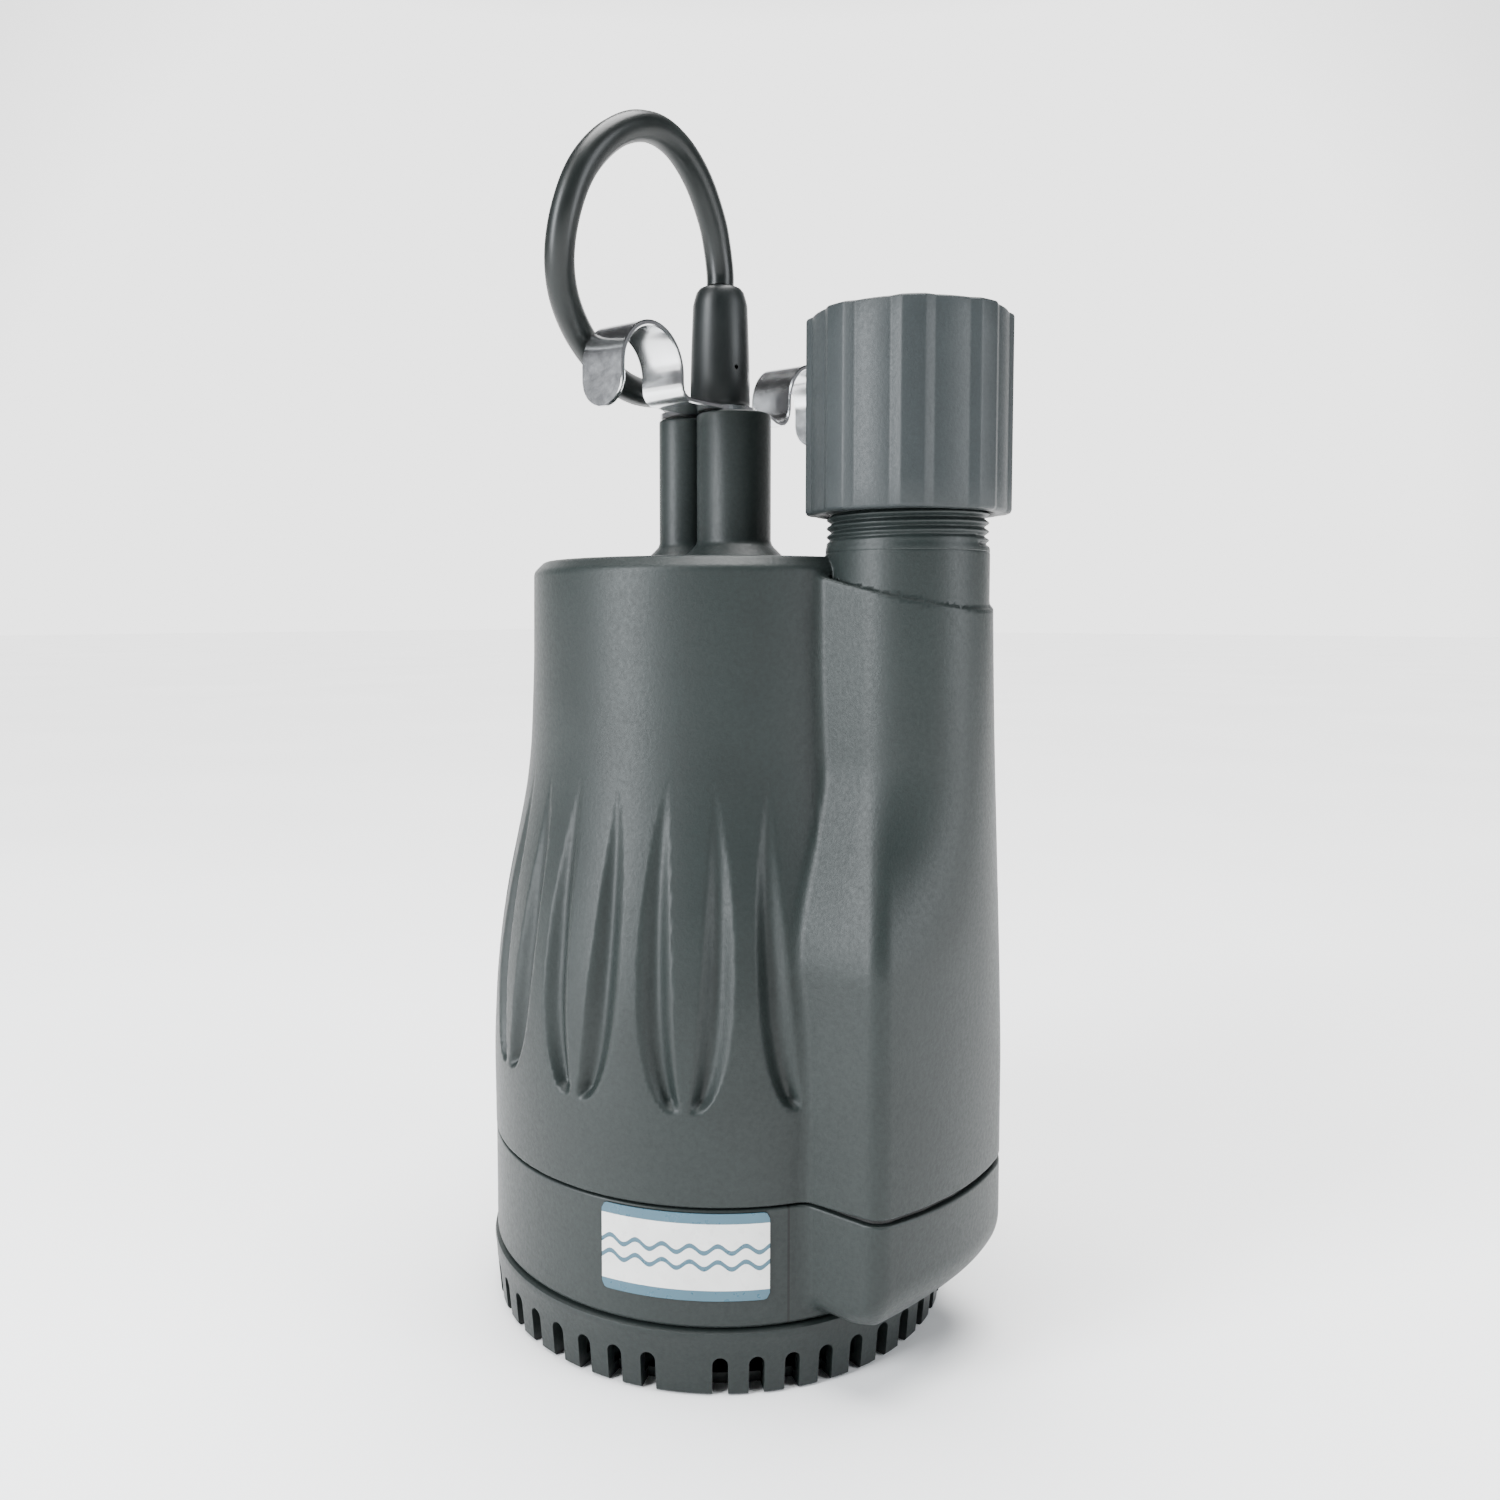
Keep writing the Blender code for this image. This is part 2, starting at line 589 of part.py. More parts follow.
def impeller():
    """A semi-open impeller: six curved vanes under a disc, on a hub that the shaft passes through."""
    profile = [(4.35, 23.3), (8.5, 23.3), (9.5, 30.8), (27, 30.8), (27, 33), (9, 33.5), (4.35, 33.5)]
    wheel = made("impeller", turned(profile, 24), (0.05, 0.05, 0.05), 0.45)
    for k in range(6):
        inner, outer = [], []
        for i in range(5):
            radius = 7.0 + 19.3 * i / 4
            degrees = 60 * k - 50 * i / 4
            inner.append(around(radius, degrees))
            outer.append(around(radius, degrees + 90 / radius))
        join(wheel, prism(inner + list(reversed(outer)), 23.7, 31.4))
    return wheel


def screws():
    """The motor's four long screws, the casing's three screws and the one that holds the hook bracket."""
    steel = ((0.72, 0.72, 0.7), 0.3, 1.0)
    for k, degrees in enumerate(MOTOR_SCREW_ANGLES, 1):
        made(f"motor_screw_{k}", screw(32.4, 35.3, 70.0, 3.4, around(MOTOR_SCREW_RADIUS, degrees)), *steel)
    for k, degrees in enumerate(CASING_SCREW_ANGLES, 1):
        made(f"casing_screw_{k}", screw(14.2, 16.9, 38.2, 3.4, around(CASING_SCREW_RADIUS, degrees)), *steel)
    made("bracket_screw", screw(255.0, 252.1, 238.0, 4.2, (BOSS[0], 0)), *steel)


def screw(head_end, head_seat, tip, head_radius, centre):
    profile = [(0, head_end), (head_radius, head_end), (head_radius, head_seat), (SCREW_SHANK, head_seat),
               (SCREW_SHANK, tip), (0, tip)]
    return turned(profile, 8, centre, closed=False)


def hook_line():
    """The bracket strip's centre line as (y, z), from the middle to the tip of one hook."""
    leg = HOOK_Y - HOOK_RADIUS
    line = [(0.0, STRIP_Z), (leg - 3.0, STRIP_Z), (leg - 0.9, STRIP_Z + 0.9), (leg, STRIP_Z + 3.0)]
    steps = 10
    for i in range(steps + 1):
        y, z = around(HOOK_RADIUS, 180 - 180 * i / steps)
        line.append((HOOK_Y + y, HOOK_CENTRE_Z + z))
    return line + [(HOOK_Y + HOOK_RADIUS, HOOK_TIP_Z)]


def hook_bracket():
    half_line = hook_line()
    line = [Vector((-y, z)) for y, z in reversed(half_line[1:])] + [Vector(p) for p in half_line]
    above, below = [], []
    for i, point in enumerate(line):
        before = line[max(i - 1, 0)]
        after = line[min(i + 1, len(line) - 1)]
        along = (after - before).normalized()
        across = Vector((-along.y, along.x)) * STRIP_THICKNESS / 2
        above.append(point + across)
        below.append(point - across)
    outline = above + list(reversed(below))
    ends = [[(x, p.x, p.y) for p in outline] for x in (-STRIP_HALF_WIDTH, STRIP_HALF_WIDTH)]
    bracket = made("hook_bracket", lofted(ends), (0.75, 0.76, 0.76), 0.25, 1.0)
    pad = [around(10.4, -100 + 200 * i / 10) for i in range(11)]
    pad += [(BOSS[0] + x, y) for x, y in (around(7.0, 100 + 160 * i / 8) for i in range(9))]
    join(bracket, prism(pad, STRIP_Z - 0.7, STRIP_Z + 0.7))
    cut(bracket, rod(4.4, STRIP_Z - 3, STRIP_Z + 3, (LEAD_X, 0), 20))
    cut(bracket, rod(SCREW_SHANK + GAP, STRIP_Z - 3, STRIP_Z + 3, (BOSS[0], 0), 12))
    return bracket


def strain_relief():
    profile = [(0, 252.1), (8.6, 252.1), (8.55, 262), (8.1, 280)]
    profile += [(7.4, 284.6), (6.0, BOOT_TOP), (0, BOOT_TOP)]
    made("strain_relief", turned(profile, 20, closed=False), (0.03, 0.035, 0.035), 0.4)


def coupling():
    """A ribbed pipe coupling with a bore at each end and a stop between them, centred on the neck."""
    pitch = 360 / COUPLING_RIBS
    outer_shape = []
    for k in range(COUPLING_RIBS):
        middle = COUPLING_TURN + pitch * k
        foot = COUPLING_RIB_HALF + COUPLING_RIB_SLOPE
        outer_shape.append((COUPLING_VALLEY, middle - foot))
        outer_shape.append((COUPLING_RADIUS, middle - COUPLING_RIB_HALF))
        outer_shape.append((COUPLING_RADIUS, middle + COUPLING_RIB_HALF))
        outer_shape.append((COUPLING_VALLEY, middle + foot))
        outer_shape.append((COUPLING_VALLEY, middle + pitch / 2))
    rings = []
    for height in (COUPLING_BOTTOM, COUPLING_TOP):
        rings.append([(*around(radius, degrees), height) for radius, degrees in outer_shape])
    for radius, height in ((21.4, COUPLING_TOP), (20.8, 243.5), (19.4, 243.5), (19.4, 240.0), (21.7, 240.0),
                           (21.7, COUPLING_BOTTOM)):
        rings.append([(*around(radius, degrees), height) for _, degrees in outer_shape])
    obj = made("discharge_coupling", lofted(rings, capped=False), (0.15, 0.155, 0.16), 0.45)
    obj.location = (NECK_X * MM, 0, 0)
    return obj


def label_plate():
    """A thin curved label on the casing's front."""
    half_angle, low, high = 18.7, 24.8, 46.8
    steps = 10
    angles = [SLOT_START - half_angle + 2 * half_angle * i / steps for i in range(steps + 1)]
    outline = [around(CASING_RADIUS + GAP, a) for a in angles]
    outline += [around(CASING_RADIUS + 0.6, a) for a in reversed(angles)]
    made("label", prism(outline, low, high), (0.85, 0.85, 0.82), 0.35)


def smooth_route(points, step):
    """Evenly spaced points on a smooth curve through the route's points."""
    knots = [Vector(p) for p in points]
    dense = []
    for i in range(len(knots) - 1):
        before = knots[max(i - 1, 0)]
        after = knots[min(i + 2, len(knots) - 1)]
        leave = (knots[i + 1] - before) / 2
        arrive = (after - knots[i]) / 2
        for k in range(20):
            t = k / 20
            dense.append(
                knots[i] * (2 * t**3 - 3 * t**2 + 1) + leave * (t**3 - 2 * t**2 + t)
                + knots[i + 1] * (3 * t**2 - 2 * t**3) + arrive * (t**3 - t**2)
            )
    dense.append(knots[-1])
    total = sum((b - a).length for a, b in zip(dense, dense[1:]))
    spacing = total / round(total / step)
    straight_start = dense[0] + (dense[1] - dense[0]).normalized() * 2.5
    spaced, run = [dense[0], straight_start], 0.0
    for a, b in zip(dense, dense[1:]):
        run += (b - a).length
        if run >= spacing * 0.999:
            spaced.append(b)
            run = 0.0
    spaced[-1] = dense[-1]
    return spaced


def tube(name, points, diameter):
    """A cord's length as a curve with a round bevel and filled ends."""
    curve = bpy.data.curves.new(name, "CURVE")
    curve.dimensions = "3D"
    curve.bevel_depth = diameter / 2 * MM
    curve.bevel_resolution = 2
    curve.use_fill_caps = True
    spline = curve.splines.new("POLY")
    spline.points.add(len(points) - 1)
    for place, point in zip(spline.points, points):
        place.co = (*(point * MM), 1)
    obj = bpy.data.objects.new(name, curve)
    bpy.context.scene.collection.objects.link(obj)
    give_material(obj, (0.02, 0.022, 0.022), 0.5, 0.0)
    return obj


def plug_frame():
    """The plug's axis: where its strain relief begins, the way it points and its sideways direction."""
    out = Vector((1, -1, 0)).normalized()
    side = Vector((1, 1, 0)).normalized()
    leaves = Vector((*COIL_CENTRE, PLUG_AXIS_Z)) + side * (COIL_RADIUS + CORD)
    return leaves + out * 44.0, out, side


def cord():
    tube("cord_lead", smooth_route(LEAD_ROUTE, CORD_STEP), CORD)
    half = COIL_HALF_SECTION
    low, high = COIL_BOTTOM, COIL_BOTTOM + 2 * half
    soft = 4.0
    section = [
        (COIL_RADIUS - half, low + soft), (COIL_RADIUS - half + soft, low), (COIL_RADIUS + half - soft, low),
        (COIL_RADIUS + half, low + soft), (COIL_RADIUS + half, high - soft),
        (COIL_RADIUS + half - soft, high),
        (COIL_RADIUS - half + soft, high), (COIL_RADIUS - half, high - soft),
    ]
    made("cord_coil", turned(section, 28, COIL_CENTRE), (0.02, 0.022, 0.022), 0.5)
    cord_tie()
    start, out, side = plug_frame()
    tail = ((14.0, 4.6), (10.5, 2.6), (7.0, 0.8), (4.0, 0.0), (0.4, 0.0))
    tube("cord_tail", [start - out * back - Vector((0, 0, drop)) for back, drop in tail], CORD)
    plug(start, out, side)


def cord_tie():
    """A flat band round the coil's bundle of turns, on the side away from the pump."""
    out = Vector((-0.616, 0.788, 0))
    side = Vector((-out.y, out.x, 0))
    middle = Vector((*COIL_CENTRE, COIL_BOTTOM + COIL_HALF_SECTION)) + out * COIL_RADIUS
    inner, outer = COIL_HALF_SECTION + 0.4, COIL_HALF_SECTION + 1.6
    rings = []
    for across, reach, drop in ((-4, outer, 0.8), (4, outer, 0.8), (4, inner, 0.35), (-4, inner, 0.35)):
        low = -COIL_HALF_SECTION - drop
        corners = ((-reach, low), (reach, low), (reach, reach), (-reach, reach))
        rings.append([tuple(middle + side * across + out * a + Vector((0, 0, b))) for a, b in corners])
    made("cord_tie", lofted(rings, capped=False), (0.05, 0.05, 0.05), 0.5)


def plug(start, out, side):
    """A moulded three-pin plug that lies on the floor, with a tapered strain relief in one piece with it."""
    up = Vector((0, 0, 1))
    sections = [(0, 4.9, 4.9, 1.0), (17, 6.2, 6.2, 1.0), (21, 8.5, 8.5, 0.8), (26, 12.5, 11.6, 0.55)]
    sections += [(50, 13.0, 12.0, 0.5), (55, 12.6, 11.6, 0.5), (56, 11.8, 10.8, 0.5)]
    rings = []
    for reach, wide, tall, power in sections:
        ring = []
        for i in range(20):
            c, s = around(1, 18 * i + 9)
            a = math.copysign(abs(c) ** power, c) * wide
            b = math.copysign(abs(s) ** power, s) * tall
            ring.append(tuple(start + out * reach + side * a + up * b))
        rings.append(ring)
    made("plug_body", lofted(rings), (0.02, 0.022, 0.022), 0.5)
    face = start + out * (56 + GAP)
    for name, across in (("plug_blade_line", -6.35), ("plug_blade_neutral", 6.35)):
        rings = []
        for reach, tall in ((0, 3.2), (15, 3.2), (17, 2.2)):
            corners = ((-0.75, -tall), (0.75, -tall), (0.75, tall), (-0.75, tall))
            middle = face + out * reach + side * across + up * 3.6
            rings.append([tuple(middle + side * a + up * b) for a, b in corners])
        made(name, lofted(rings), (0.8, 0.66, 0.35), 0.25, 1.0)
    rings = []
    for reach, radius in ((0, 2.4), (17, 2.4), (20, 1.2)):
        circle = [around(radius, 30 * i) for i in range(12)]
        rings.append([tuple(face + out * reach + side * a + up * (b - 7.6)) for a, b in circle])
    made("plug_ground_pin", lofted(rings), (0.8, 0.66, 0.35), 0.25, 1.0)


def rotor_axis():
    """An empty on the motor's axis that carries the turning parts."""
    axis = bpy.data.objects.new("rotor_axis", None)
    bpy.context.scene.collection.objects.link(axis)
    for name in ROTOR_PARTS:
        bpy.data.objects[name].parent = axis


def main():
    for obj in list(bpy.data.objects):
        bpy.data.objects.remove(obj)
    strainer()
    volute_casing()
    casing_gasket()
    seal_plate()
    lower_end_bell()
    motor_parts()
    rotor_parts()
    rotor_axis()
    motor_housing()
    screws()
    hook_bracket()
    strain_relief()
    coupling()
    label_plate()
    cord()


main()
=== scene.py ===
"""A submersible sump pump in dark moulded plastic: its looks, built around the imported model.

Shapes are in millimetres in the model's frame and become metres where a mesh is made. The stage, the lights
and the camera are placed in metres.
"""

import math

import bmesh
import bpy
import numpy as np
from mathutils import Matrix, Vector


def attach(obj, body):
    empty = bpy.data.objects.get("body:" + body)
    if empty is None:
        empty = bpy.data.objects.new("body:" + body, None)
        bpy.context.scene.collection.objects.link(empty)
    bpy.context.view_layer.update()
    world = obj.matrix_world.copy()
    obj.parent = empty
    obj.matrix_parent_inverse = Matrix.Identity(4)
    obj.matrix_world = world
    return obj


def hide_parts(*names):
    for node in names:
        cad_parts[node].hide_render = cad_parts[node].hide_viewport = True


MM = 0.001

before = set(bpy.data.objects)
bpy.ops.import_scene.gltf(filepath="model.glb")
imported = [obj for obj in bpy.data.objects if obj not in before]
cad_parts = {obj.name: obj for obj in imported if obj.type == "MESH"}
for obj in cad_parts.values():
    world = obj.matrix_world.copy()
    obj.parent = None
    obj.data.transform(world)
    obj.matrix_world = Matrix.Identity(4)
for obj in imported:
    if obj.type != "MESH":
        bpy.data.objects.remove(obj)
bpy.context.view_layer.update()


# ---------------------------------------------------------------- numbers

CORD = 7.8
# The cord's centreline from the boot, over its loop and down behind the pump to the coil.
LEAD_ROUTE = [
    (0, 0, 286.4), (0, 0, 290.0), (0.4, -1.8, 296.6), (1.3, -5.4, 303.4),
    (2.5, -12.8, 311.8), (3.3, -21.8, 317.7), (3.9, -31.5, 319.7), (3.9, -41.3, 317.8),
    (3.1, -50.4, 312.2), (1.4, -57.4, 303.6), (-0.9, -60.6, 293.4), (-4.0, -60.0, 283.4),
    (-7.7, -55.2, 275.0), (-10.8, -47.4, 267.8), (-12.6, -38.2, 261.8), (-13.8, -28.0, 257.4),
    (-16.0, -17.5, 256.3), (-20.3, -6.0, 257.6), (-24.9, 5.5, 258.6), (-29.5, 16.5, 256.9),
    (-33.3, 27.0, 250.8), (-36.4, 35.8, 240.8), (-39.6, 42.2, 226.5), (-43.6, 45.9, 209.0),
    (-49.2, 47.0, 188.5), (-57.2, 45.6, 163.0), (-66.0, 42.9, 133.0), (-73.3, 40.5, 103.5),
    (-78.6, 39.8, 76.0), (-82.9, 42.0, 53.0), (-88.0, 47.0, 37.0), (-94.9, 55.4, 27.2),
    (-101.3, 63.0, 22.5),
]
COIL_CENTRE = (-74.7, 111.8)
COIL_RADIUS = 43.0
COIL_HEIGHT = 12.7
# Where each turn lies in the coil's bundle, in cord thicknesses outward and up from its middle.
COIL_PLACES = ((1, 1), (1, 0), (0, 0), (0, 1), (-1, 1), (-1, 0), (-1, -1), (0, -1), (1, -1))
COIL_SLOTS = [(COIL_RADIUS + CORD * outward, COIL_HEIGHT + CORD * up) for outward, up in COIL_PLACES]
COIL_ENTRY = 218.0
COIL_EXIT = 45.0
COIL_STEP = 7.5
CROSSING_MIDDLE = -10.0
CROSSING_HALF = 22.0
PLUG_AXIS_Z = 12.3
# The level direction that the camera faces, where the sky is brightest.
FORWARD = (-0.616, 0.788)


# ---------------------------------------------------------------- small helpers

def ease(start, end, value):
    """0 before start, 1 after end and a smooth step between, for numbers and arrays."""
    t = np.clip((value - start) / (end - start), 0.0, 1.0)
    return t * t * (3 - 2 * t)


def smooth_max(a, b, k):
    h = np.maximum(k - np.abs(a - b), 0.0) / k
    return np.maximum(a, b) + h * h * k * 0.25


def smooth_min(a, b, k):
    return -smooth_max(-a, -b, k)


def around(radius, degrees):
    return radius * math.cos(math.radians(degrees)), radius * math.sin(math.radians(degrees))


def add_object(name, mesh, material, body, replaces=()):
    obj = bpy.data.objects.new(name, mesh)
    bpy.context.scene.collection.objects.link(obj)
    obj.data.materials.clear()
    obj.data.materials.append(material)
    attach(obj, body)
    if replaces:
        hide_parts(*replaces)
    return obj


def mesh_from(name, points, faces, sharp=35.0):
    mesh = bpy.data.meshes.new(name)
    mesh.from_pydata([tuple(p) for p in points], [], [tuple(f) for f in faces])
    bm = bmesh.new()
    bm.from_mesh(mesh)
    bmesh.ops.recalc_face_normals(bm, faces=bm.faces)
    bm.to_mesh(mesh)
    bm.free()
    mesh.shade_smooth()
    if sharp:
        mesh.set_sharp_from_angle(angle=math.radians(sharp))
    return mesh


def loft(name, rings, capped=True, sharp=35.0):
    """A skin over rings of (x, y, z) millimetres with the same number of points in each."""
    rings = [np.asarray(r, float) for r in rings]
    count = len(rings[0])
    points = np.concatenate(rings) * MM
    faces = []
    spans = list(zip(range(len(rings)), range(1, len(rings))))
    if not capped:
        spans.append((len(rings) - 1, 0))
    for a, b in spans:
        for i in range(count):
            j = (i + 1) % count
            faces.append((a * count + i, a * count + j, b * count + j, b * count + i))
    if capped:
        faces.append(tuple(range(count)))
        faces.append(tuple(range((len(rings) - 1) * count, len(rings) * count)))
    return mesh_from(name, points, faces, sharp)


def circle(radius, z, segments=64, centre=(0.0, 0.0)):
    a = np.arange(segments) * math.tau / segments
    return np.stack([centre[0] + radius * np.cos(a), centre[1] + radius * np.sin(a), np.full(segments, z)], 1)


def lathe(name, profile, segments=64, centre=(0.0, 0.0), sharp=35.0):
    return loft(name, [circle(r, z, segments, centre) for r, z in profile], sharp=sharp)


def boolean(mesh, tool, operation="DIFFERENCE"):
    """The mesh with the tool mesh cut out of it or joined to it."""
    a = bpy.data.objects.new("boolean_a", mesh)
    b = bpy.data.objects.new("boolean_b", tool)
    for o in (a, b):
        bpy.context.scene.collection.objects.link(o)
    modifier = a.modifiers.new("cut", "BOOLEAN")
    modifier.operation = operation
    modifier.solver = "EXACT"
    modifier.use_self = False
    modifier.object = b
    made = bpy.data.meshes.new_from_object(a.evaluated_get(bpy.context.evaluated_depsgraph_get()))
    bpy.data.objects.remove(a)
    bpy.data.objects.remove(b)
    return made


def bevelled(obj, width, segments=2, angle=40.0):
    """A small rounding on an object's sharp edges."""
    modifier = obj.modifiers.new("edge", "BEVEL")
    modifier.width = width * MM
    modifier.segments = segments
    modifier.limit_method = "ANGLE"
    modifier.angle_limit = math.radians(angle)
    modifier.harden_normals = True
    modifier.use_clamp_overlap = True
    return obj


# ---------------------------------------------------------------- surfaces from distance functions

def crossing_vertices(values, xs, ys, zs, cells):
    """For each cell that the surface passes through, the mean of where it crosses the cell's edges."""
    i, j, k = cells
    axes = (xs, ys, zs)
    total = np.zeros((len(i), 3))
    count = np.zeros(len(i))
    for axis in range(3):
        others = [a for a in range(3) if a != axis]
        for u in (0, 1):
            for v in (0, 1):
                start = [i, j, k]
                start[others[0]] = start[others[0]] + u
                start[others[1]] = start[others[1]] + v
                end = list(start)
                end[axis] = end[axis] + 1
                a = values[tuple(start)]
                b = values[tuple(end)]
                hit = (a < 0) != (b < 0)
                t = np.where(hit, a / np.where(hit, a - b, 1.0), 0.0)
                place = np.zeros((len(i), 3))
                for other in others:
                    place[:, other] = axes[other][start[other]]
                first, last = axes[axis][start[axis]], axes[axis][end[axis]]
                place[:, axis] = first + t * (last - first)
                total += np.where(hit[:, None], place, 0.0)
                count += hit
    return total / count[:, None]


def gradient(distance, p, step=0.12):
    x, y, z = p.T
    return np.stack([
        distance(x + step, y, z) - distance(x - step, y, z),
        distance(x, y + step, z) - distance(x, y - step, z),
        distance(x, y, z + step) - distance(x, y, z - step),
    ], 1) / (2 * step)


def cells_crossed(inside):
    """The cells whose corners aren't all inside or all outside, and a number for each of them."""
    shape = tuple(n - 1 for n in inside.shape)
    corner_sum = np.zeros(shape, int)
    for a in (0, 1):
        for b in (0, 1):
            for c in (0, 1):
                corner_sum += inside[a:shape[0] + a, b:shape[1] + b, c:shape[2] + c]
    cells = np.nonzero((corner_sum > 0) & (corner_sum < 8))
    ids = np.full(shape, -1)
    ids[cells] = np.arange(len(cells[0]))
    return cells, ids


def faces_between(inside, ids):
    """A four-sided face for each grid edge that the surface crosses, joining the four cells round it."""
    shape = ids.shape
    faces = []
    for axis in range(3):
        others = [a for a in range(3) if a != axis]
        low = [slice(None)] * 3
        high = [slice(None)] * 3
        low[axis] = slice(0, -1)
        high[axis] = slice(1, None)
        edges = np.nonzero(inside[tuple(low)] != inside[tuple(high)])
        keep = (edges[others[0]] > 0) & (edges[others[1]] > 0)
        keep &= (edges[others[0]] < shape[others[0]]) & (edges[others[1]] < shape[others[1]])
        edges = [e[keep] for e in edges]
        outward = inside[tuple(low)][tuple(edges)]
        ring = []
        for u, v in ((-1, -1), (0, -1), (0, 0), (-1, 0)):
            place = list(edges)
            place[others[0]] = place[others[0]] + u
            place[others[1]] = place[others[1]] + v
            ring.append(ids[tuple(place)])
        quad = np.stack(ring, 1)
        flip = outward if axis != 1 else ~outward
        faces.append(np.where(flip[:, None], quad, quad[:, ::-1]))
    return np.concatenate(faces)


def skin(name, distance, xs, ys, zs, passes=5, reach=0.45):
    """Meshes the surface where distance is 0 on a grid of cells, with normals from the function itself."""
    gx, gy, gz = np.meshgrid(xs, ys, zs, indexing="ij")
    values = distance(gx, gy, gz)
    inside = values < 0
    cells, ids = cells_crossed(inside)
    points = crossing_vertices(values, xs, ys, zs, cells)
    for _ in range(passes):
        slope = gradient(distance, points)
        size = np.maximum((slope**2).sum(1), 0.05)
        move = slope * (distance(*points.T) / size)[:, None]
        length = np.linalg.norm(move, axis=1, keepdims=True)
        points -= move * np.minimum(1.0, reach / np.maximum(length, 1e-9))
    faces = faces_between(inside, ids)
    mesh = bpy.data.meshes.new(name)
    mesh.vertices.add(len(points))
    mesh.vertices.foreach_set("co", (points * MM).astype(np.float32).ravel())
    mesh.loops.add(faces.size)
    mesh.loops.foreach_set("vertex_index", faces.astype(np.int32).ravel())
    mesh.polygons.add(len(faces))
    mesh.polygons.foreach_set("loop_start", (np.arange(len(faces)) * 4).astype(np.int32))
    mesh.update(calc_edges=True)
    mesh.shade_smooth()
    normals = gradient(distance, points, 0.25)
    normals /= np.maximum(np.linalg.norm(normals, axis=1, keepdims=True), 1e-9)
    mesh.normals_split_custom_set_from_vertices([tuple(n) for n in normals])
    return mesh


def steps(*runs):
    """Grid places from runs of (start, end, spacing), each run starting where the one before it ends."""
    places = [runs[0][0]]
    for start, end, spacing in runs:
        count = max(1, round((end - start) / spacing))
        places += [start + (end - start) * (n + 1) / count for n in range(count)]
    return np.array(places)


# ---------------------------------------------------------------- materials

def material(name):
    made = bpy.data.materials.new(name)
    made.use_nodes = True
    tree = made.node_tree
    shader = tree.nodes["Principled BSDF"]
    place = tree.nodes.new("ShaderNodeTexCoord").outputs["Object"]
    return made, tree, shader, place


def noise(tree, place, scale, detail=2.0, roughness=0.5, stretch=None):
    if stretch:
        mapping = tree.nodes.new("ShaderNodeMapping")
        mapping.inputs["Scale"].default_value = stretch
        tree.links.new(place, mapping.inputs["Vector"])
        place = mapping.outputs["Vector"]
    made = tree.nodes.new("ShaderNodeTexNoise")
    made.inputs["Scale"].default_value = scale
    made.inputs["Detail"].default_value = detail
    made.inputs["Roughness"].default_value = roughness
    tree.links.new(place, made.inputs["Vector"])
    return made.outputs["Fac"]


def ramp(tree, factor, stops):
    made = tree.nodes.new("ShaderNodeValToRGB")
    made.color_ramp.elements[0].position = stops[0][0]
    made.color_ramp.elements[0].color = (*stops[0][1], 1)
    made.color_ramp.elements[1].position = stops[-1][0]
    made.color_ramp.elements[1].color = (*stops[-1][1], 1)
    for position, colour in stops[1:-1]:
        element = made.color_ramp.elements.new(position)
        element.color = (*colour, 1)
    tree.links.new(factor, made.inputs["Fac"])
    return made.outputs["Color"]


def scale_to(tree, factor, low, high, from_low=0.3, from_high=0.7):
    made = tree.nodes.new("ShaderNodeMapRange")
    made.inputs["From Min"].default_value = from_low
    made.inputs["From Max"].default_value = from_high
    made.inputs["To Min"].default_value = low
    made.inputs["To Max"].default_value = high
    tree.links.new(factor, made.inputs["Value"])
    return made.outputs["Result"]


def bump(tree, shader, height, strength, distance, before=None):
    made = tree.nodes.new("ShaderNodeBump")
    made.inputs["Strength"].default_value = strength
    made.inputs["Distance"].default_value = distance
    tree.links.new(height, made.inputs["Height"])
    if before is not None:
        tree.links.new(before, made.inputs["Normal"])
    tree.links.new(made.outputs["Normal"], shader.inputs["Normal"])
    return made.outputs["Normal"]


def shade(colour, factor):
    return tuple(min(1.0, c * factor) for c in colour)


def plastic(name, colour, rough=(0.4, 0.5), grain=900.0, grain_depth=0.00004, speckle=0.16, specular=0.27):
    """Moulded plastic: cloudy colour, a fine sparkling grain and faint flow marks."""
    made, tree, shader, place = material(name)
    cloud = noise(tree, place, 38.0, 4.0, 0.6)
    fine = noise(tree, place, grain, 3.0, 0.65)
    tint = ramp(tree, cloud, [(0.3, shade(colour, 0.9)), (0.7, shade(colour, 1.1))])
    mix = tree.nodes.new("ShaderNodeMix")
    mix.data_type = "RGBA"
    mix.blend_type = "MULTIPLY"
    mix.inputs["Factor"].default_value = 1.0
    dots = ramp(tree, fine, [(0.3, (1 - speckle,) * 3), (0.5, (1.0,) * 3), (0.72, (1 + speckle,) * 3)])
    tree.links.new(tint, mix.inputs["A"])
    tree.links.new(dots, mix.inputs["B"])
    tree.links.new(mix.outputs["Result"], shader.inputs["Base Color"])
    tree.links.new(scale_to(tree, fine, rough[1], rough[0]), shader.inputs["Roughness"])
    flow = bump(tree, shader, noise(tree, place, 55.0, 2.0, 0.5), 0.25, 0.0003)
    bump(tree, shader, fine, 0.55, grain_depth * 3, flow)
    shader.inputs["Specular IOR Level"].default_value = specular
    return made


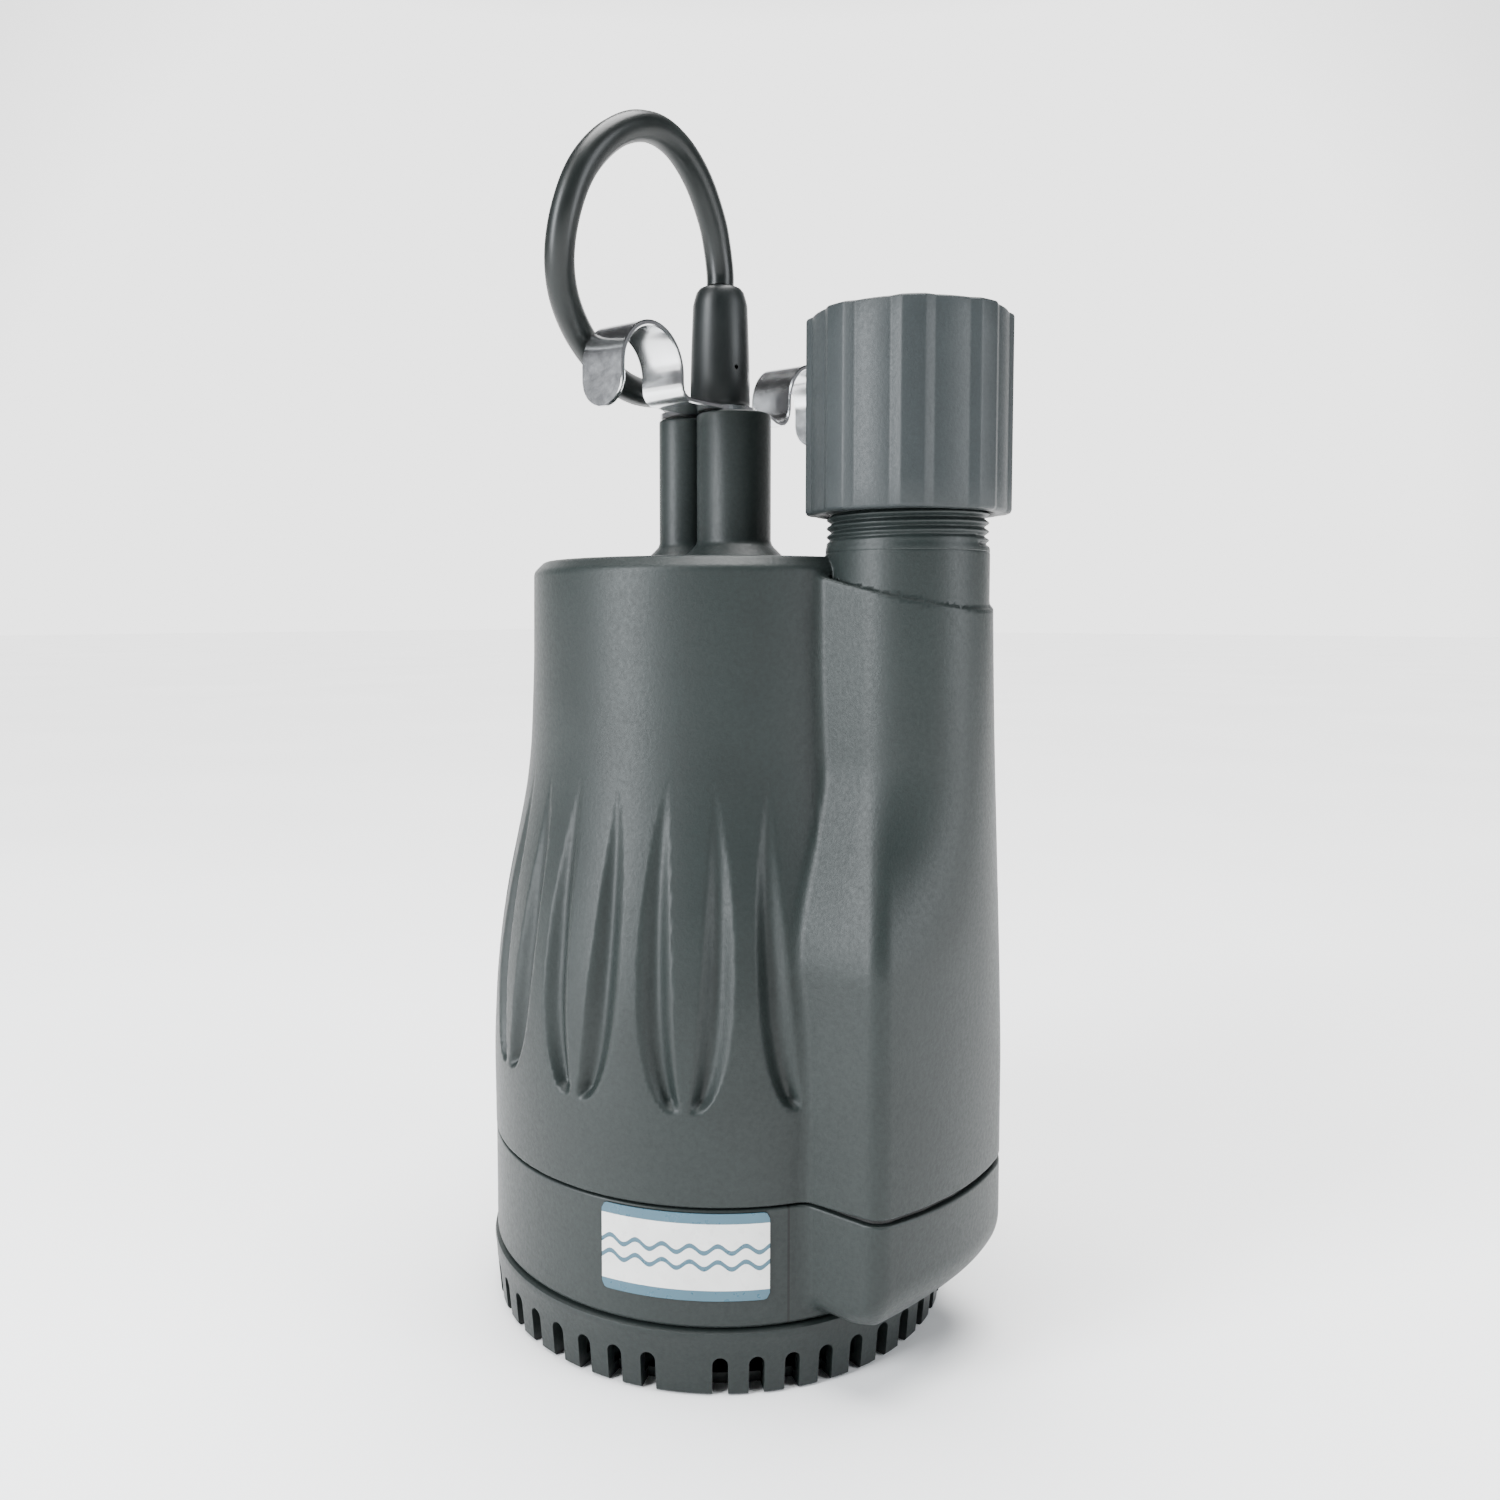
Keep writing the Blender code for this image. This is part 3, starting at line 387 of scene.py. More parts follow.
def mould_line(made, degrees):
    """A fine dark parting line straight up a moulding at this angle round its axis."""
    tree = made.node_tree
    colour = tree.nodes["Principled BSDF"].inputs["Base Color"]
    before = colour.links[0].from_socket
    place = tree.nodes.new("ShaderNodeTexCoord").outputs["Object"]
    a = math.radians(degrees)
    half_width, least_radius = 0.0003, 0.05
    masks = []
    for direction, test, limit in (((-math.sin(a), math.cos(a), 0), "LESS_THAN", half_width),
                                   ((math.cos(a), math.sin(a), 0), "GREATER_THAN", least_radius)):
        dot = tree.nodes.new("ShaderNodeVectorMath")
        dot.operation = "DOT_PRODUCT"
        dot.inputs[1].default_value = direction
        tree.links.new(place, dot.inputs[0])
        value = dot.outputs["Value"]
        if test == "LESS_THAN":
            size = tree.nodes.new("ShaderNodeMath")
            size.operation = "ABSOLUTE"
            tree.links.new(value, size.inputs[0])
            value = size.outputs[0]
        compare = tree.nodes.new("ShaderNodeMath")
        compare.operation = test
        compare.inputs[1].default_value = limit
        tree.links.new(value, compare.inputs[0])
        masks.append(compare.outputs[0])
    both = tree.nodes.new("ShaderNodeMath")
    both.operation = "MULTIPLY"
    tree.links.new(masks[0], both.inputs[0])
    tree.links.new(masks[1], both.inputs[1])
    mix = tree.nodes.new("ShaderNodeMix")
    mix.data_type = "RGBA"
    tree.links.new(both.outputs[0], mix.inputs["Factor"])
    tree.links.new(before, mix.inputs["A"])
    mix.inputs["B"].default_value = (0.003, 0.004, 0.004, 1)
    tree.links.new(mix.outputs["Result"], colour)
    return made


def rubber(name, colour, rough=(0.34, 0.46)):
    """Cord jacket or soft moulding: smooth and satin, with fine drag marks."""
    made, tree, shader, place = material(name)
    cloud = noise(tree, place, 60.0, 3.0, 0.55)
    fine = noise(tree, place, 1500.0, 2.0, 0.5)
    tree.links.new(ramp(tree, cloud, [(0.3, shade(colour, 0.8)), (0.7, shade(colour, 1.25))]),
                   shader.inputs["Base Color"])
    tree.links.new(scale_to(tree, cloud, rough[0], rough[1]), shader.inputs["Roughness"])
    wave = bump(tree, shader, noise(tree, place, 120.0, 2.0, 0.5), 0.2, 0.0003)
    bump(tree, shader, fine, 0.25, 0.00005, wave)
    shader.inputs["Specular IOR Level"].default_value = 0.3
    return made


def metal(name, colour, rough=(0.2, 0.34), stretch=(1, 1, 1), grain=700.0, grain_strength=0.15):
    """Bare or plated metal with drawn or brushed marks and a little clouding."""
    made, tree, shader, place = material(name)
    cloud = noise(tree, place, 90.0, 4.0, 0.6)
    fine = noise(tree, place, grain, 3.0, 0.6, stretch)
    tree.links.new(ramp(tree, cloud, [(0.3, shade(colour, 0.85)), (0.7, shade(colour, 1.08))]),
                   shader.inputs["Base Color"])
    tree.links.new(scale_to(tree, fine, rough[0], rough[1]), shader.inputs["Roughness"])
    bump(tree, shader, fine, grain_strength, 0.00008)
    shader.inputs["Metallic"].default_value = 1.0
    return made


def layered(name, colour, pitch, turns=False):
    """Stacked sheets or wound wire: fine ridges at a fixed pitch across the height or round the bundle, with
    painted shade in the grooves between them.
    """
    made, tree, shader, place = material(name)
    wave = tree.nodes.new("ShaderNodeTexWave")
    wave.wave_type = "RINGS" if turns else "BANDS"
    wave.bands_direction = "Z"
    wave.rings_direction = "Z"
    wave.inputs["Scale"].default_value = 1 / pitch / 3.2
    wave.inputs["Distortion"].default_value = 2.0 if turns else 0.3
    wave.inputs["Detail"].default_value = 2.0
    tree.links.new(place, wave.inputs["Vector"])
    # Painted shade: the colour falls to under half in the grooves between the sheets or the turns of wire.
    tree.links.new(ramp(tree, wave.outputs["Fac"], [(0.1, shade(colour, 0.45)), (0.7, colour)]),
                   shader.inputs["Base Color"])
    tree.links.new(scale_to(tree, noise(tree, place, 200.0), 0.3, 0.5), shader.inputs["Roughness"])
    bump(tree, shader, wave.outputs["Fac"], 0.6, pitch * 0.3)
    shader.inputs["Metallic"].default_value = 0.9
    return made


BODY_COLOUR = (0.0105, 0.0145, 0.0138)
body_plastic = plastic("body_plastic", BODY_COLOUR)
casing_plastic = mould_line(plastic("casing_plastic", BODY_COLOUR), -37.0)
foot_plastic = plastic("foot_plastic", shade(BODY_COLOUR, 0.92))
coupling_plastic = plastic("coupling_plastic", (0.021, 0.0255, 0.0265), (0.4, 0.5), 1100.0, 0.00003, 0.1)
plate_plastic = plastic("plate_plastic", (0.12, 0.12, 0.12))
wheel_plastic = plastic("wheel_plastic", (0.035, 0.035, 0.035), (0.35, 0.45))
boot_rubber = rubber("boot_rubber", (0.006, 0.008, 0.008), (0.36, 0.46))
cord_rubber = rubber("cord_rubber", (0.005, 0.0068, 0.0064), (0.32, 0.42))
gasket_rubber = rubber("gasket_rubber", (0.012, 0.012, 0.012), (0.5, 0.6))
tie_plastic = plastic("tie_plastic", (0.03, 0.03, 0.03), (0.35, 0.45))
zinc = metal("zinc_plate", (0.8, 0.81, 0.82), (0.16, 0.21), (1, 0.2, 1), 420.0, 0.015)
steel = metal("drawn_steel", (0.6, 0.6, 0.58), (0.24, 0.4), (1, 1, 0.05), 900.0)
bright_steel = metal("ground_steel", (0.7, 0.7, 0.69), (0.15, 0.28), (1, 1, 4), 800.0)
cast_aluminium = metal("cast_aluminium", (0.55, 0.56, 0.57), (0.4, 0.6), (1, 1, 1), 450.0, 0.4)
brass = metal("brass_pins", (0.8, 0.62, 0.3), (0.18, 0.3), (1, 1, 0.2), 800.0)
laminated = layered("laminated_steel", (0.36, 0.37, 0.39), 0.0005)
copper_wire = layered("copper_wire", (0.62, 0.25, 0.09), 0.0009, turns=True)


# ---------------------------------------------------------------- the pump's own shapes

WALL_HEIGHTS = (48.8, 71, 84, 93, 102, 110, 119, 127.5, 136, 144.5, 150, 157, 166, 179, 203, 210)
WALL_RADII = (65.5, 65.7, 65.2, 64.8, 63.8, 62.6, 61.1, 59.3, 57.5, 55.9, 55.2, 54.5, 54.1, 53.6, 53.4, 53.3)
FINE_HEIGHTS = np.linspace(20, 240, 1761)
kernel = np.exp(-0.5 * (np.arange(-48, 49) * 0.125 / 4.0) ** 2)
padded_radii = np.pad(np.interp(FINE_HEIGHTS, WALL_HEIGHTS, WALL_RADII), 48, mode="edge")
FINE_RADII = np.convolve(padded_radii, kernel / kernel.sum(), mode="valid")

MOTOR_SPACE = 50.3
# Finger scallops: the first one's angle and their spacing in degrees, the last one's number, and their size.
SCALLOP_FIRST = 33.0
SCALLOP_PITCH = 26.73
SCALLOP_LAST = 5
SCALLOP_LOW = 71.0
SCALLOP_LENGTH = 83.0
SCALLOP_DEPTH = 2.7
# The column on the side, whose near side is the one towards -Y.
COLUMN_START_X = 30
COLUMN_OUTER_RADIUS = 83.5
COLUMN_NEAR_SIDE = 35.9
COLUMN_FAR_SIDE = 28.8
COLUMN_NEAR_CORNER = 6.0
COLUMN_FAR_CORNER = 18.0
COLUMN_TOP_RADIUS = 22.1
COLUMN_WALL = 3.2
NECK_X = 61.4
NECK_RADIUS = 21.08
NECK_BORE = 17.0
THREAD_START = 209.6
TOP = 208.0
TOWER_TOP = 249.9
BOSS_X = -13.5
MOTOR_SCREW_CIRCLE = 55.6
CASING_SCREW_CIRCLE = 54.0
SCREW_HOLE = 2.1
# The width of the cells that the housing and the casing are meshed on.
CELL = 0.95


def rounded_corner(a, b, radius):
    """Where two distances meet, a rounded edge between them."""
    outside = np.hypot(np.maximum(a + radius, 0), np.maximum(b + radius, 0))
    return outside + np.minimum(np.maximum(a, b) + radius, 0) - radius


def rounded_side(x, y, outer, side, radius):
    """Distance from the outer face and the side face at y = side, with a true arc between them."""
    centre_y = side - radius
    centre_x = np.sqrt((COLUMN_OUTER_RADIUS - radius) ** 2 - centre_y**2)
    dx, dy = x - centre_x, y - centre_y
    on_arc = (dx > 0) & (centre_x * dy - centre_y * dx > 0)
    return np.where(on_arc, np.hypot(dx, dy) - radius, np.maximum(outer, y - side))


def column_section(x, y, z):
    """Distance from the column's outline at this height, whose inner end reaches back without limit."""
    outer = np.hypot(x, y) - COLUMN_OUTER_RADIUS
    near_share = ease(105.0, 157.0, z)
    far_share = np.clip((z - 73.0) / 119.0, 0.0, 1.0) ** 1.35
    near = rounded_side(x, -y, outer, COLUMN_NEAR_SIDE, COLUMN_NEAR_CORNER + 12.0 * near_share)
    far = rounded_side(x, y, outer, COLUMN_FAR_SIDE, COLUMN_FAR_CORNER)
    low = np.maximum(near, far)
    top = np.hypot(np.maximum(x - NECK_X, 0), y) - COLUMN_TOP_RADIUS
    share = near_share + (far_share - near_share) * ease(-10.0, 10.0, y)
    return low + (top - low) * share


def scallop(x, y, z, radius):
    """How deep the finger scallops lie here: each is two crescent grooves with a raised leaf between them."""
    degrees = np.abs(np.degrees(np.arctan2(y, x)))
    nearest = np.clip(np.round((degrees - SCALLOP_FIRST) / SCALLOP_PITCH), 0, SCALLOP_LAST)
    off = np.abs(np.radians(degrees - SCALLOP_FIRST - SCALLOP_PITCH * nearest)) * radius
    along = np.clip((z - SCALLOP_LOW) / SCALLOP_LENGTH, 0.0, 1.0)
    low = np.clip(1 - along / 0.34, 0.0, 1.0)
    high = np.clip((along - 0.34) / 0.66, 0.0, 1.0)
    outer = 2.2 + 10.4 * np.sqrt(np.maximum(1 - low**2, 0)) - 7.0 * high**2.2
    inner = 0.4 + 5.0 * along**0.6
    across = np.clip((off - inner) / np.maximum(outer - inner, 0.3), 0.0, 1.0)
    fade = ease(0.0, 0.04, along) * ease(0.0, 0.66, 1 - along)
    return SCALLOP_DEPTH * fade * np.abs(np.sin(math.pi * across)) ** 1.6


def pillar(x, y, z, centre, radius):
    """A round post on the body's top, with a sloping foot."""
    r = np.hypot(x - centre, y)
    shaft = smooth_max(r - radius, z - TOWER_TOP, 0.8)
    skirt = np.maximum((r - radius - 5.2 + (z - TOP)) * 0.7071, z - TOP - 5.6)
    return smooth_min(shaft, skirt, 0.7)


def housing_outside(x, y, z):
    """The motor housing's outer form: body with scallops, column, neck, tower and boss."""
    r = np.hypot(x, y)
    wall = np.interp(z, FINE_HEIGHTS, FINE_RADII)
    side = r - wall + scallop(x, y, z, wall)
    chamfer = (r - 53.3 + z - 205.0) * 0.7071
    body = smooth_max(smooth_max(side, z - TOP, 0.8), chamfer, 0.8)
    slope = (z - 203.0 + 0.24 * (x - 48.0)) * 0.9724
    section = column_section(x, y, z)
    column = smooth_max(section, slope, 1.0)
    recess = np.maximum(np.maximum(section + 2.1, -slope - 1.7 * ease(0.0, 9.0, 58.0 - x)), x - 57.5)
    column = np.maximum(np.maximum(column, -recess), COLUMN_START_X - x)
    shape = smooth_min(body, column, 2.0)
    neck = smooth_max(np.hypot(x - NECK_X, y) - NECK_RADIUS, z - THREAD_START, 1.2)
    neck = np.maximum(neck, 150 - z)
    shape = smooth_min(shape, neck, 0.5)
    towers = smooth_min(pillar(x, y, z, 5.0, 10.6), pillar(x, y, z, BOSS_X, 7.3), 0.6)
    towers = np.maximum(towers, 200 - z)
    shape = smooth_min(shape, towers, 0.6)
    floor = 47.85 + 0.95 * ease(53.0, 80.0, x)
    return smooth_max(shape, floor - z, 0.7)


def housing_hollow(x, y, z):
    """The motor's space, the passage up the column, the neck's bore, the cord's hole and the screw holes."""
    r = np.hypot(x, y)
    section = column_section(x, y, z)
    cavity_wall = np.interp(z, (66.0, 74.0, 100.0, 130.0, 157.0), (60.0, 57.5, 57.0, 52.5, MOTOR_SPACE))
    cavity = np.maximum(r - cavity_wall, z - 175.0)
    upper = np.maximum(np.maximum(r - MOTOR_SPACE, x - 36.0), np.maximum(174.5 - z, z - 203.5))
    back = np.interp(z, (105.0, 118.0, 131.0, 144.0, 157.0), (63.2, 60.6, 57.6, 55.2, 53.6))
    passage = smooth_max(section + COLUMN_WALL, np.maximum(back - x, z - 178.0), 2.0)
    bore = np.maximum(np.hypot(x - NECK_X, y) - NECK_BORE, 176.0 - z)
    lead = np.maximum(np.hypot(x - 1.5, y) - 4.2, 200.0 - z)
    hollow = np.minimum(np.minimum(cavity, upper), np.minimum(np.minimum(passage, bore), lead))
    for degrees in (45, 135, 225, 315):
        bx, by = around(MOTOR_SCREW_CIRCLE, degrees)
        boss = np.maximum(np.hypot(x - bx, y - by) - 4.6, np.maximum(58.6 - z, z - 82.0))
        screw = np.maximum(np.hypot(x - bx, y - by) - SCREW_HOLE, z - 72.0)
        hollow = np.minimum(np.maximum(hollow, -boss), screw)
    return hollow


def housing_distance(x, y, z):
    return np.maximum(housing_outside(x, y, z), -housing_hollow(x, y, z))


add_object(
    "housing_shell",
    skin(
        "housing_shell", housing_distance,
        steps((-67.0, 86.5, CELL)), steps((-67.6, 67.6, CELL)),
        steps((47.0, 50.0, 0.4), (50.0, 201.0, 1.2), (201.0, 212.0, 0.55), (212.0, 248.0, 1.4),
              (248.0, 251.0, 0.4)),
    ),
    body_plastic, "pump", ("motor_housing",),
)


def casing_distance(x, y, z):
    """The volute casing: a drum with a swelling under the column, hollow, with the inlet eye in its floor."""
    r = np.hypot(x, y)
    drum = smooth_max(r - 65.4, 17.2 - z, 1.6)
    section = column_section(x, y, np.full_like(z, 48.0))
    rounding = 5.0 + 8.0 * ease(66.0, 80.0, x)
    swelling = np.maximum(rounded_corner(section, 19.8 - z, rounding), COLUMN_START_X - x)
    shape = smooth_max(smooth_min(drum, swelling, 2.5), z - 47.4, 0.6)
    cavity = np.maximum(r - 61.2, 22.5 - z)
    passage = np.maximum(smooth_max(section + COLUMN_WALL, 25.5 - z, 6.0), 40 - x)
    eye = r - 13.0
    hollow = np.minimum(np.minimum(cavity, passage), eye)
    for degrees in (90, 180, 270):
        bx, by = around(CASING_SCREW_CIRCLE, degrees)
        boss = np.maximum(np.hypot(x - bx, y - by) - 4.2, z - 35.3)
        screw = np.hypot(x - bx, y - by) - SCREW_HOLE
        hollow = np.minimum(np.maximum(hollow, -boss), screw)
    return np.maximum(shape, -hollow)


add_object(
    "casing_shell",
    skin(
        "casing_shell", casing_distance, steps((-67.0, 86.5, CELL)), steps((-67.6, 67.6, CELL)),
        steps((16.0, 20.0, 0.4), (20.0, 46.0, 0.9), (46.0, 48.6, 0.3)),
    ),
    casing_plastic, "pump", ("volute_casing",),
)


def neck_ring(radius, angles, z):
    """A ring round the neck's axis, with one radius or a radius at each angle."""
    return np.stack([NECK_X + radius * np.cos(angles), radius * np.sin(angles), np.full(len(angles), z)], 1)


def neck_thread():
    """The threaded end of the neck with its bore: a right-handed ridge that runs out into the plain part."""
    pitch, depth, end = 2.21, 1.15, 236.0
    segments = 120
    angles = np.arange(segments) * math.tau / segments
    rings = []
    for z in np.concatenate([[206.0, 208.6], np.arange(209.0, 237.6, pitch / 9)]):
        phase = (z - THREAD_START) / pitch - angles / math.tau
        ridge = np.abs((phase % 1.0) * 2 - 1)
        ridge = np.clip((ridge - 0.12) / 0.76, 0, 1)
        grown = ease(0.0, 0.9, phase) * ease(0.0, 1.5, end - z)
        radius = NECK_RADIUS - 0.05 - depth * (1 - ridge) * grown - (0.9 if z < 208.8 else 0.0)
        rings.append(neck_ring(radius - 0.25 * ease(0.0, 1.5, z - THREAD_START), angles, z))
    for radius, z in ((20.0, 238.0), (17.6, 238.0), (NECK_BORE, 237.4), (NECK_BORE, 206.0)):
        rings.append(neck_ring(radius, angles, z))
    return loft("neck_thread", rings, capped=False, sharp=0)


add_object("neck_thread", neck_thread(), body_plastic, "pump")


def coupling_mesh():
    """The pipe coupling: eight raised ribs with sloping sides, a bore at each end and a stop between them."""
    segments = 480
    angles = np.arange(segments) * 360 / segments
    rib_turn, rib_pitch, rib_half, rib_slope = 58.3, 45.0, 6.0, 6.0
    off = np.abs((angles + rib_turn + rib_pitch / 2) % rib_pitch - rib_pitch / 2)
    rib = 1 - np.clip((off - rib_half) / rib_slope, 0.0, 1.0)

    def outer(inset, z):
        return neck_ring(25.2 + 1.1 * rib - inset, np.radians(angles), z)

    low, high = 218.7, 268.7
    rings = [outer(1.0, low), outer(0.3, low + 0.25), outer(0.0, low + 0.9)]
    rings += [outer(0.0, z) for z in np.linspace(low + 8, high - 8, 6)]
    rings += [outer(0.0, high - 0.7), outer(0.25, high - 0.2), outer(0.8, high)]
    for radius, z in ((22.1, high), (21.4, high - 0.7), (20.8, 243.5), (19.4, 243.5),
                      (19.4, 240.0), (21.7, 240.0), (21.7, low + 0.8), (22.4, low)):
        rings.append(circle(radius, z, segments, (NECK_X, 0.0)))
    return loft("coupling_shell", rings, capped=False, sharp=50)


add_object("coupling_shell", coupling_mesh(), coupling_plastic, "coupling", ("discharge_coupling",))


def strainer_mesh():
    """The strainer cup: rim lip, flared wall with a ring of arched slots, and a flat floor."""
    profile = [
        (0.4, 0.0), (40.0, 0.0), (60.0, 0.0), (64.2, 0.0), (64.8, 0.6), (65.3, 6.0), (65.7, 10.2),
        (66.0, 14.6), (66.2, 15.4), (66.0, 16.4), (65.3, 16.8), (62.6, 16.8), (61.9, 16.2), (61.9, 2.6),
        (40.0, 2.6), (0.4, 2.6),
    ]
    cup = lathe("strainer_shell", profile, 216, sharp=0)
    points, faces = [], []
    slot_half, slot_pitch, arch_height = 1.95, 8.0, 8.25
    places, places_to_a_land, first_land = 45, 15, -60.0
    for k in range(places):
        if k % places_to_a_land == 0:
            continue
        out = Vector((*around(1, first_land + slot_pitch * k), 0))
        side = Vector((-out.y, out.x, 0))
        arch = [math.radians(a) for a in range(0, 181, 20)]
        outline = [(-slot_half, -2.0), (slot_half, -2.0)]
        outline += [(slot_half * math.cos(a), arch_height + slot_half * math.sin(a)) for a in arch]
        first = len(points)
        for reach in (56.0, 70.0):
            points += [tuple((out * reach + side * u + Vector((0, 0, v))) * MM) for u, v in outline]
        n = len(outline)
        faces += [[first + i, first + (i + 1) % n, first + n + (i + 1) % n, first + n + i] for i in range(n)]
        faces += [[first + i for i in range(n)][::-1], [first + n + i for i in range(n)]]
    floor = lathe("strainer_floor", [(0.4, -3.0), (59.5, -3.0), (59.5, 2.61), (0.4, 2.61)], 96)
    cutters = mesh_from("slots", points, faces)
    cutters = boolean(cutters, floor)
    made = boolean(cup, cutters)
    made.shade_smooth()
    made.set_sharp_from_angle(angle=math.radians(35))
    return made


strainer = add_object(
    "strainer_shell", strainer_mesh(), foot_plastic, "strainer", ("strainer_base",)
)
bevelled(strainer, 0.25)


def hook_mesh():
    """The zinc-plated bracket: one strip with a hook at each end, rounded tips and a flat middle."""
    half_width, half_thickness = 7.0, 0.75

    def half_line(dip):
        """One half of the strip's line seen from the side, dipping by about this much before the hook."""
        line = [(y, 251.0) for y in np.linspace(0, 15.0, 8)]
        line += [(18.0, 251.0 - dip), (20.4, 251.0 - dip * 1.3), (22.4, 251.1 - dip)]
        line += [(24.0, 251.9 - dip * 0.4), (24.9, 253.2), (25.2, 255.2)]
        line += [(36.9 + a, 257.0 + b) for a, b in (around(11.7, 180 - 6 * i) for i in range(31))]
        line += [(48.6, z) for z in (255.0, 253.0, 251.0, 250.0, 249.0, 248.2, 247.5, 247.0, 246.7, 246.5)]
        return line

    left, right = half_line(0.0), half_line(1.1)
    line = [Vector((-y, z)) for y, z in reversed(left[1:])] + [Vector(p) for p in right]
    travelled = [0.0]
    for a, b in zip(line, line[1:]):
        travelled.append(travelled[-1] + (b - a).length)
    total = travelled[-1]
    rings = []
    for i, point in enumerate(line):
        before, after = line[max(i - 1, 0)], line[min(i + 1, len(line) - 1)]
        along = (after - before).normalized()
        across = Vector((-along.y, along.x)) * half_thickness
        rest = half_width - min(half_width, travelled[i], total - travelled[i])
        half = math.sqrt(max(half_width**2 - rest**2, 1.2))
        ring = []
        for u, v in ((-1, -0.55), (-0.97, -1), (0.97, -1), (1, -0.55),
                     (1, 0.55), (0.97, 1), (-0.97, 1), (-1, 0.55)):
            p = point + across * v
            ring.append((half * u, p.x, p.y))
        rings.append(ring)
    strip = loft("hook_strip", rings)
    pad = [around(10.4, -100 + 200 * i / 24) for i in range(25)]
    pad += [(BOSS_X + x, y) for x, y in (around(7.0, 100 + 160 * i / 16) for i in range(17))]
    plate = loft("plate", [[(x, y, z) for x, y in pad] for z in (250.3, 251.7)])
    strip = boolean(strip, plate, "UNION")
    strip = boolean(strip, lathe("hole", [(4.4, 247.0), (4.4, 254.0)], 40, (1.5, 0.0)))
    strip = boolean(strip, lathe("hole", [(SCREW_HOLE, 247.0), (SCREW_HOLE, 254.0)], 24, (BOSS_X, 0.0)))
    strip.shade_smooth()
    strip.set_sharp_from_angle(angle=math.radians(30))
    return strip


add_object("hook_strip", hook_mesh(), zinc, "pump", ("hook_bracket",))


def boot_mesh():
    """The cord's boot, tapering upward, with a small pin hole in its side."""
    profile = [
        (8.0, 252.1), (8.45, 252.5), (8.6, 253.4), (8.5, 260.0), (8.3, 268.0), (8.0, 276.0), (7.8, 281.0),
        (7.3, 283.0), (6.8, 284.6), (6.0, 285.6), (5.2, 286.0), (4.4, 286.0),
    ]
    boot = lathe("boot", profile, 72, sharp=40)
    x, y = around(8.6, -19.0)
    pin = lathe("pin", [(0.65, -1.6), (0.65, 1.6)], 20)
    turn = Vector((x, y, 0)).to_track_quat("Z", "Y").to_matrix().to_4x4()
    pin.transform(Matrix.Translation(Vector((x, y, 262.7)) * MM) @ turn)
    boot = boolean(boot, pin)
    boot.shade_smooth()
    boot.set_sharp_from_angle(angle=math.radians(40))
    return boot


add_object("boot", boot_mesh(), boot_rubber, "pump", ("strain_relief",))


# ---------------------------------------------------------------- cord

def smooth_route(points, per_span=8):
    """A smooth curve through the points."""
    knots = [Vector(p) for p in points]
    line = []
    for i in range(len(knots) - 1):
        before, after = knots[max(i - 1, 0)], knots[min(i + 2, len(knots) - 1)]
        leave, arrive = (knots[i + 1] - before) / 2, (after - knots[i]) / 2
        for k in range(per_span):
            t = k / per_span
            line.append(
                knots[i] * (2 * t**3 - 3 * t**2 + 1) + leave * (t**3 - 2 * t**2 + t)
                + knots[i + 1] * (3 * t**2 - 2 * t**3) + arrive * (t**3 - t**2)
            )
    line.append(knots[-1])
    return line


def coil_points():
    """The stored length: eight and a half turns, which change places in the bundle over a short arc."""
    line = []
    total = COIL_ENTRY - COIL_EXIT + 360.0 * (len(COIL_SLOTS) - 1)
    count = round(total / COIL_STEP)
    for n in range(count + 1):
        turned = total * n / count
        degrees = COIL_ENTRY - turned
        passed = (COIL_ENTRY + CROSSING_HALF - degrees) / 360.0 - (COIL_ENTRY - CROSSING_MIDDLE) / 360.0
        index = math.floor(passed + 1e-9)
        share = float(ease(0.0, 2 * CROSSING_HALF / 360.0, passed - index))
        here = COIL_SLOTS[min(max(index, 0), len(COIL_SLOTS) - 1)]
        after = COIL_SLOTS[min(max(index + 1, 0), len(COIL_SLOTS) - 1)]
        radius = here[0] + (after[0] - here[0]) * share
        height = here[1] + (after[1] - here[1]) * share
        x, y = around(radius, degrees)
        line.append((COIL_CENTRE[0] + x, COIL_CENTRE[1] + y, height))
    return line


out = Vector((1, -1, 0)).normalized()
side = Vector((1, 1, 0)).normalized()
plug_start = Vector((*COIL_CENTRE, PLUG_AXIS_Z)) + side * 50.8 + out * 44.0
coil = coil_points()
tail = [Vector(coil[-1]) + out * 12.0 + Vector((0, 0, 0.6))]
for back, drop in ((18, 5.2), (10.5, 2.2), (5.0, 0.3), (0.3, 0.0)):
    tail.append(plug_start - out * back - Vector((0, 0, drop)))
route = smooth_route(LEAD_ROUTE + coil[:1])[:-1]
route += [Vector(p) for p in coil[:-1]]
route += smooth_route([coil[-1]] + tail, 4)

curve = bpy.data.curves.new("power_cord", "CURVE")
curve.dimensions = "3D"
curve.bevel_depth = CORD / 2 * MM
curve.bevel_resolution = 5
curve.use_fill_caps = True
spline = curve.splines.new("POLY")
spline.points.add(len(route) - 1)
for spot, point in zip(spline.points, route):
    spot.co = (*(Vector(point) * MM), 1)
spline.use_smooth = True
power_cord = bpy.data.objects.new("power_cord", curve)
bpy.context.scene.collection.objects.link(power_cord)
curve.materials.append(cord_rubber)
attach(power_cord, "pump")
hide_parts("cord_lead", "cord_coil", "cord_tail")


# ---------------------------------------------------------------- label

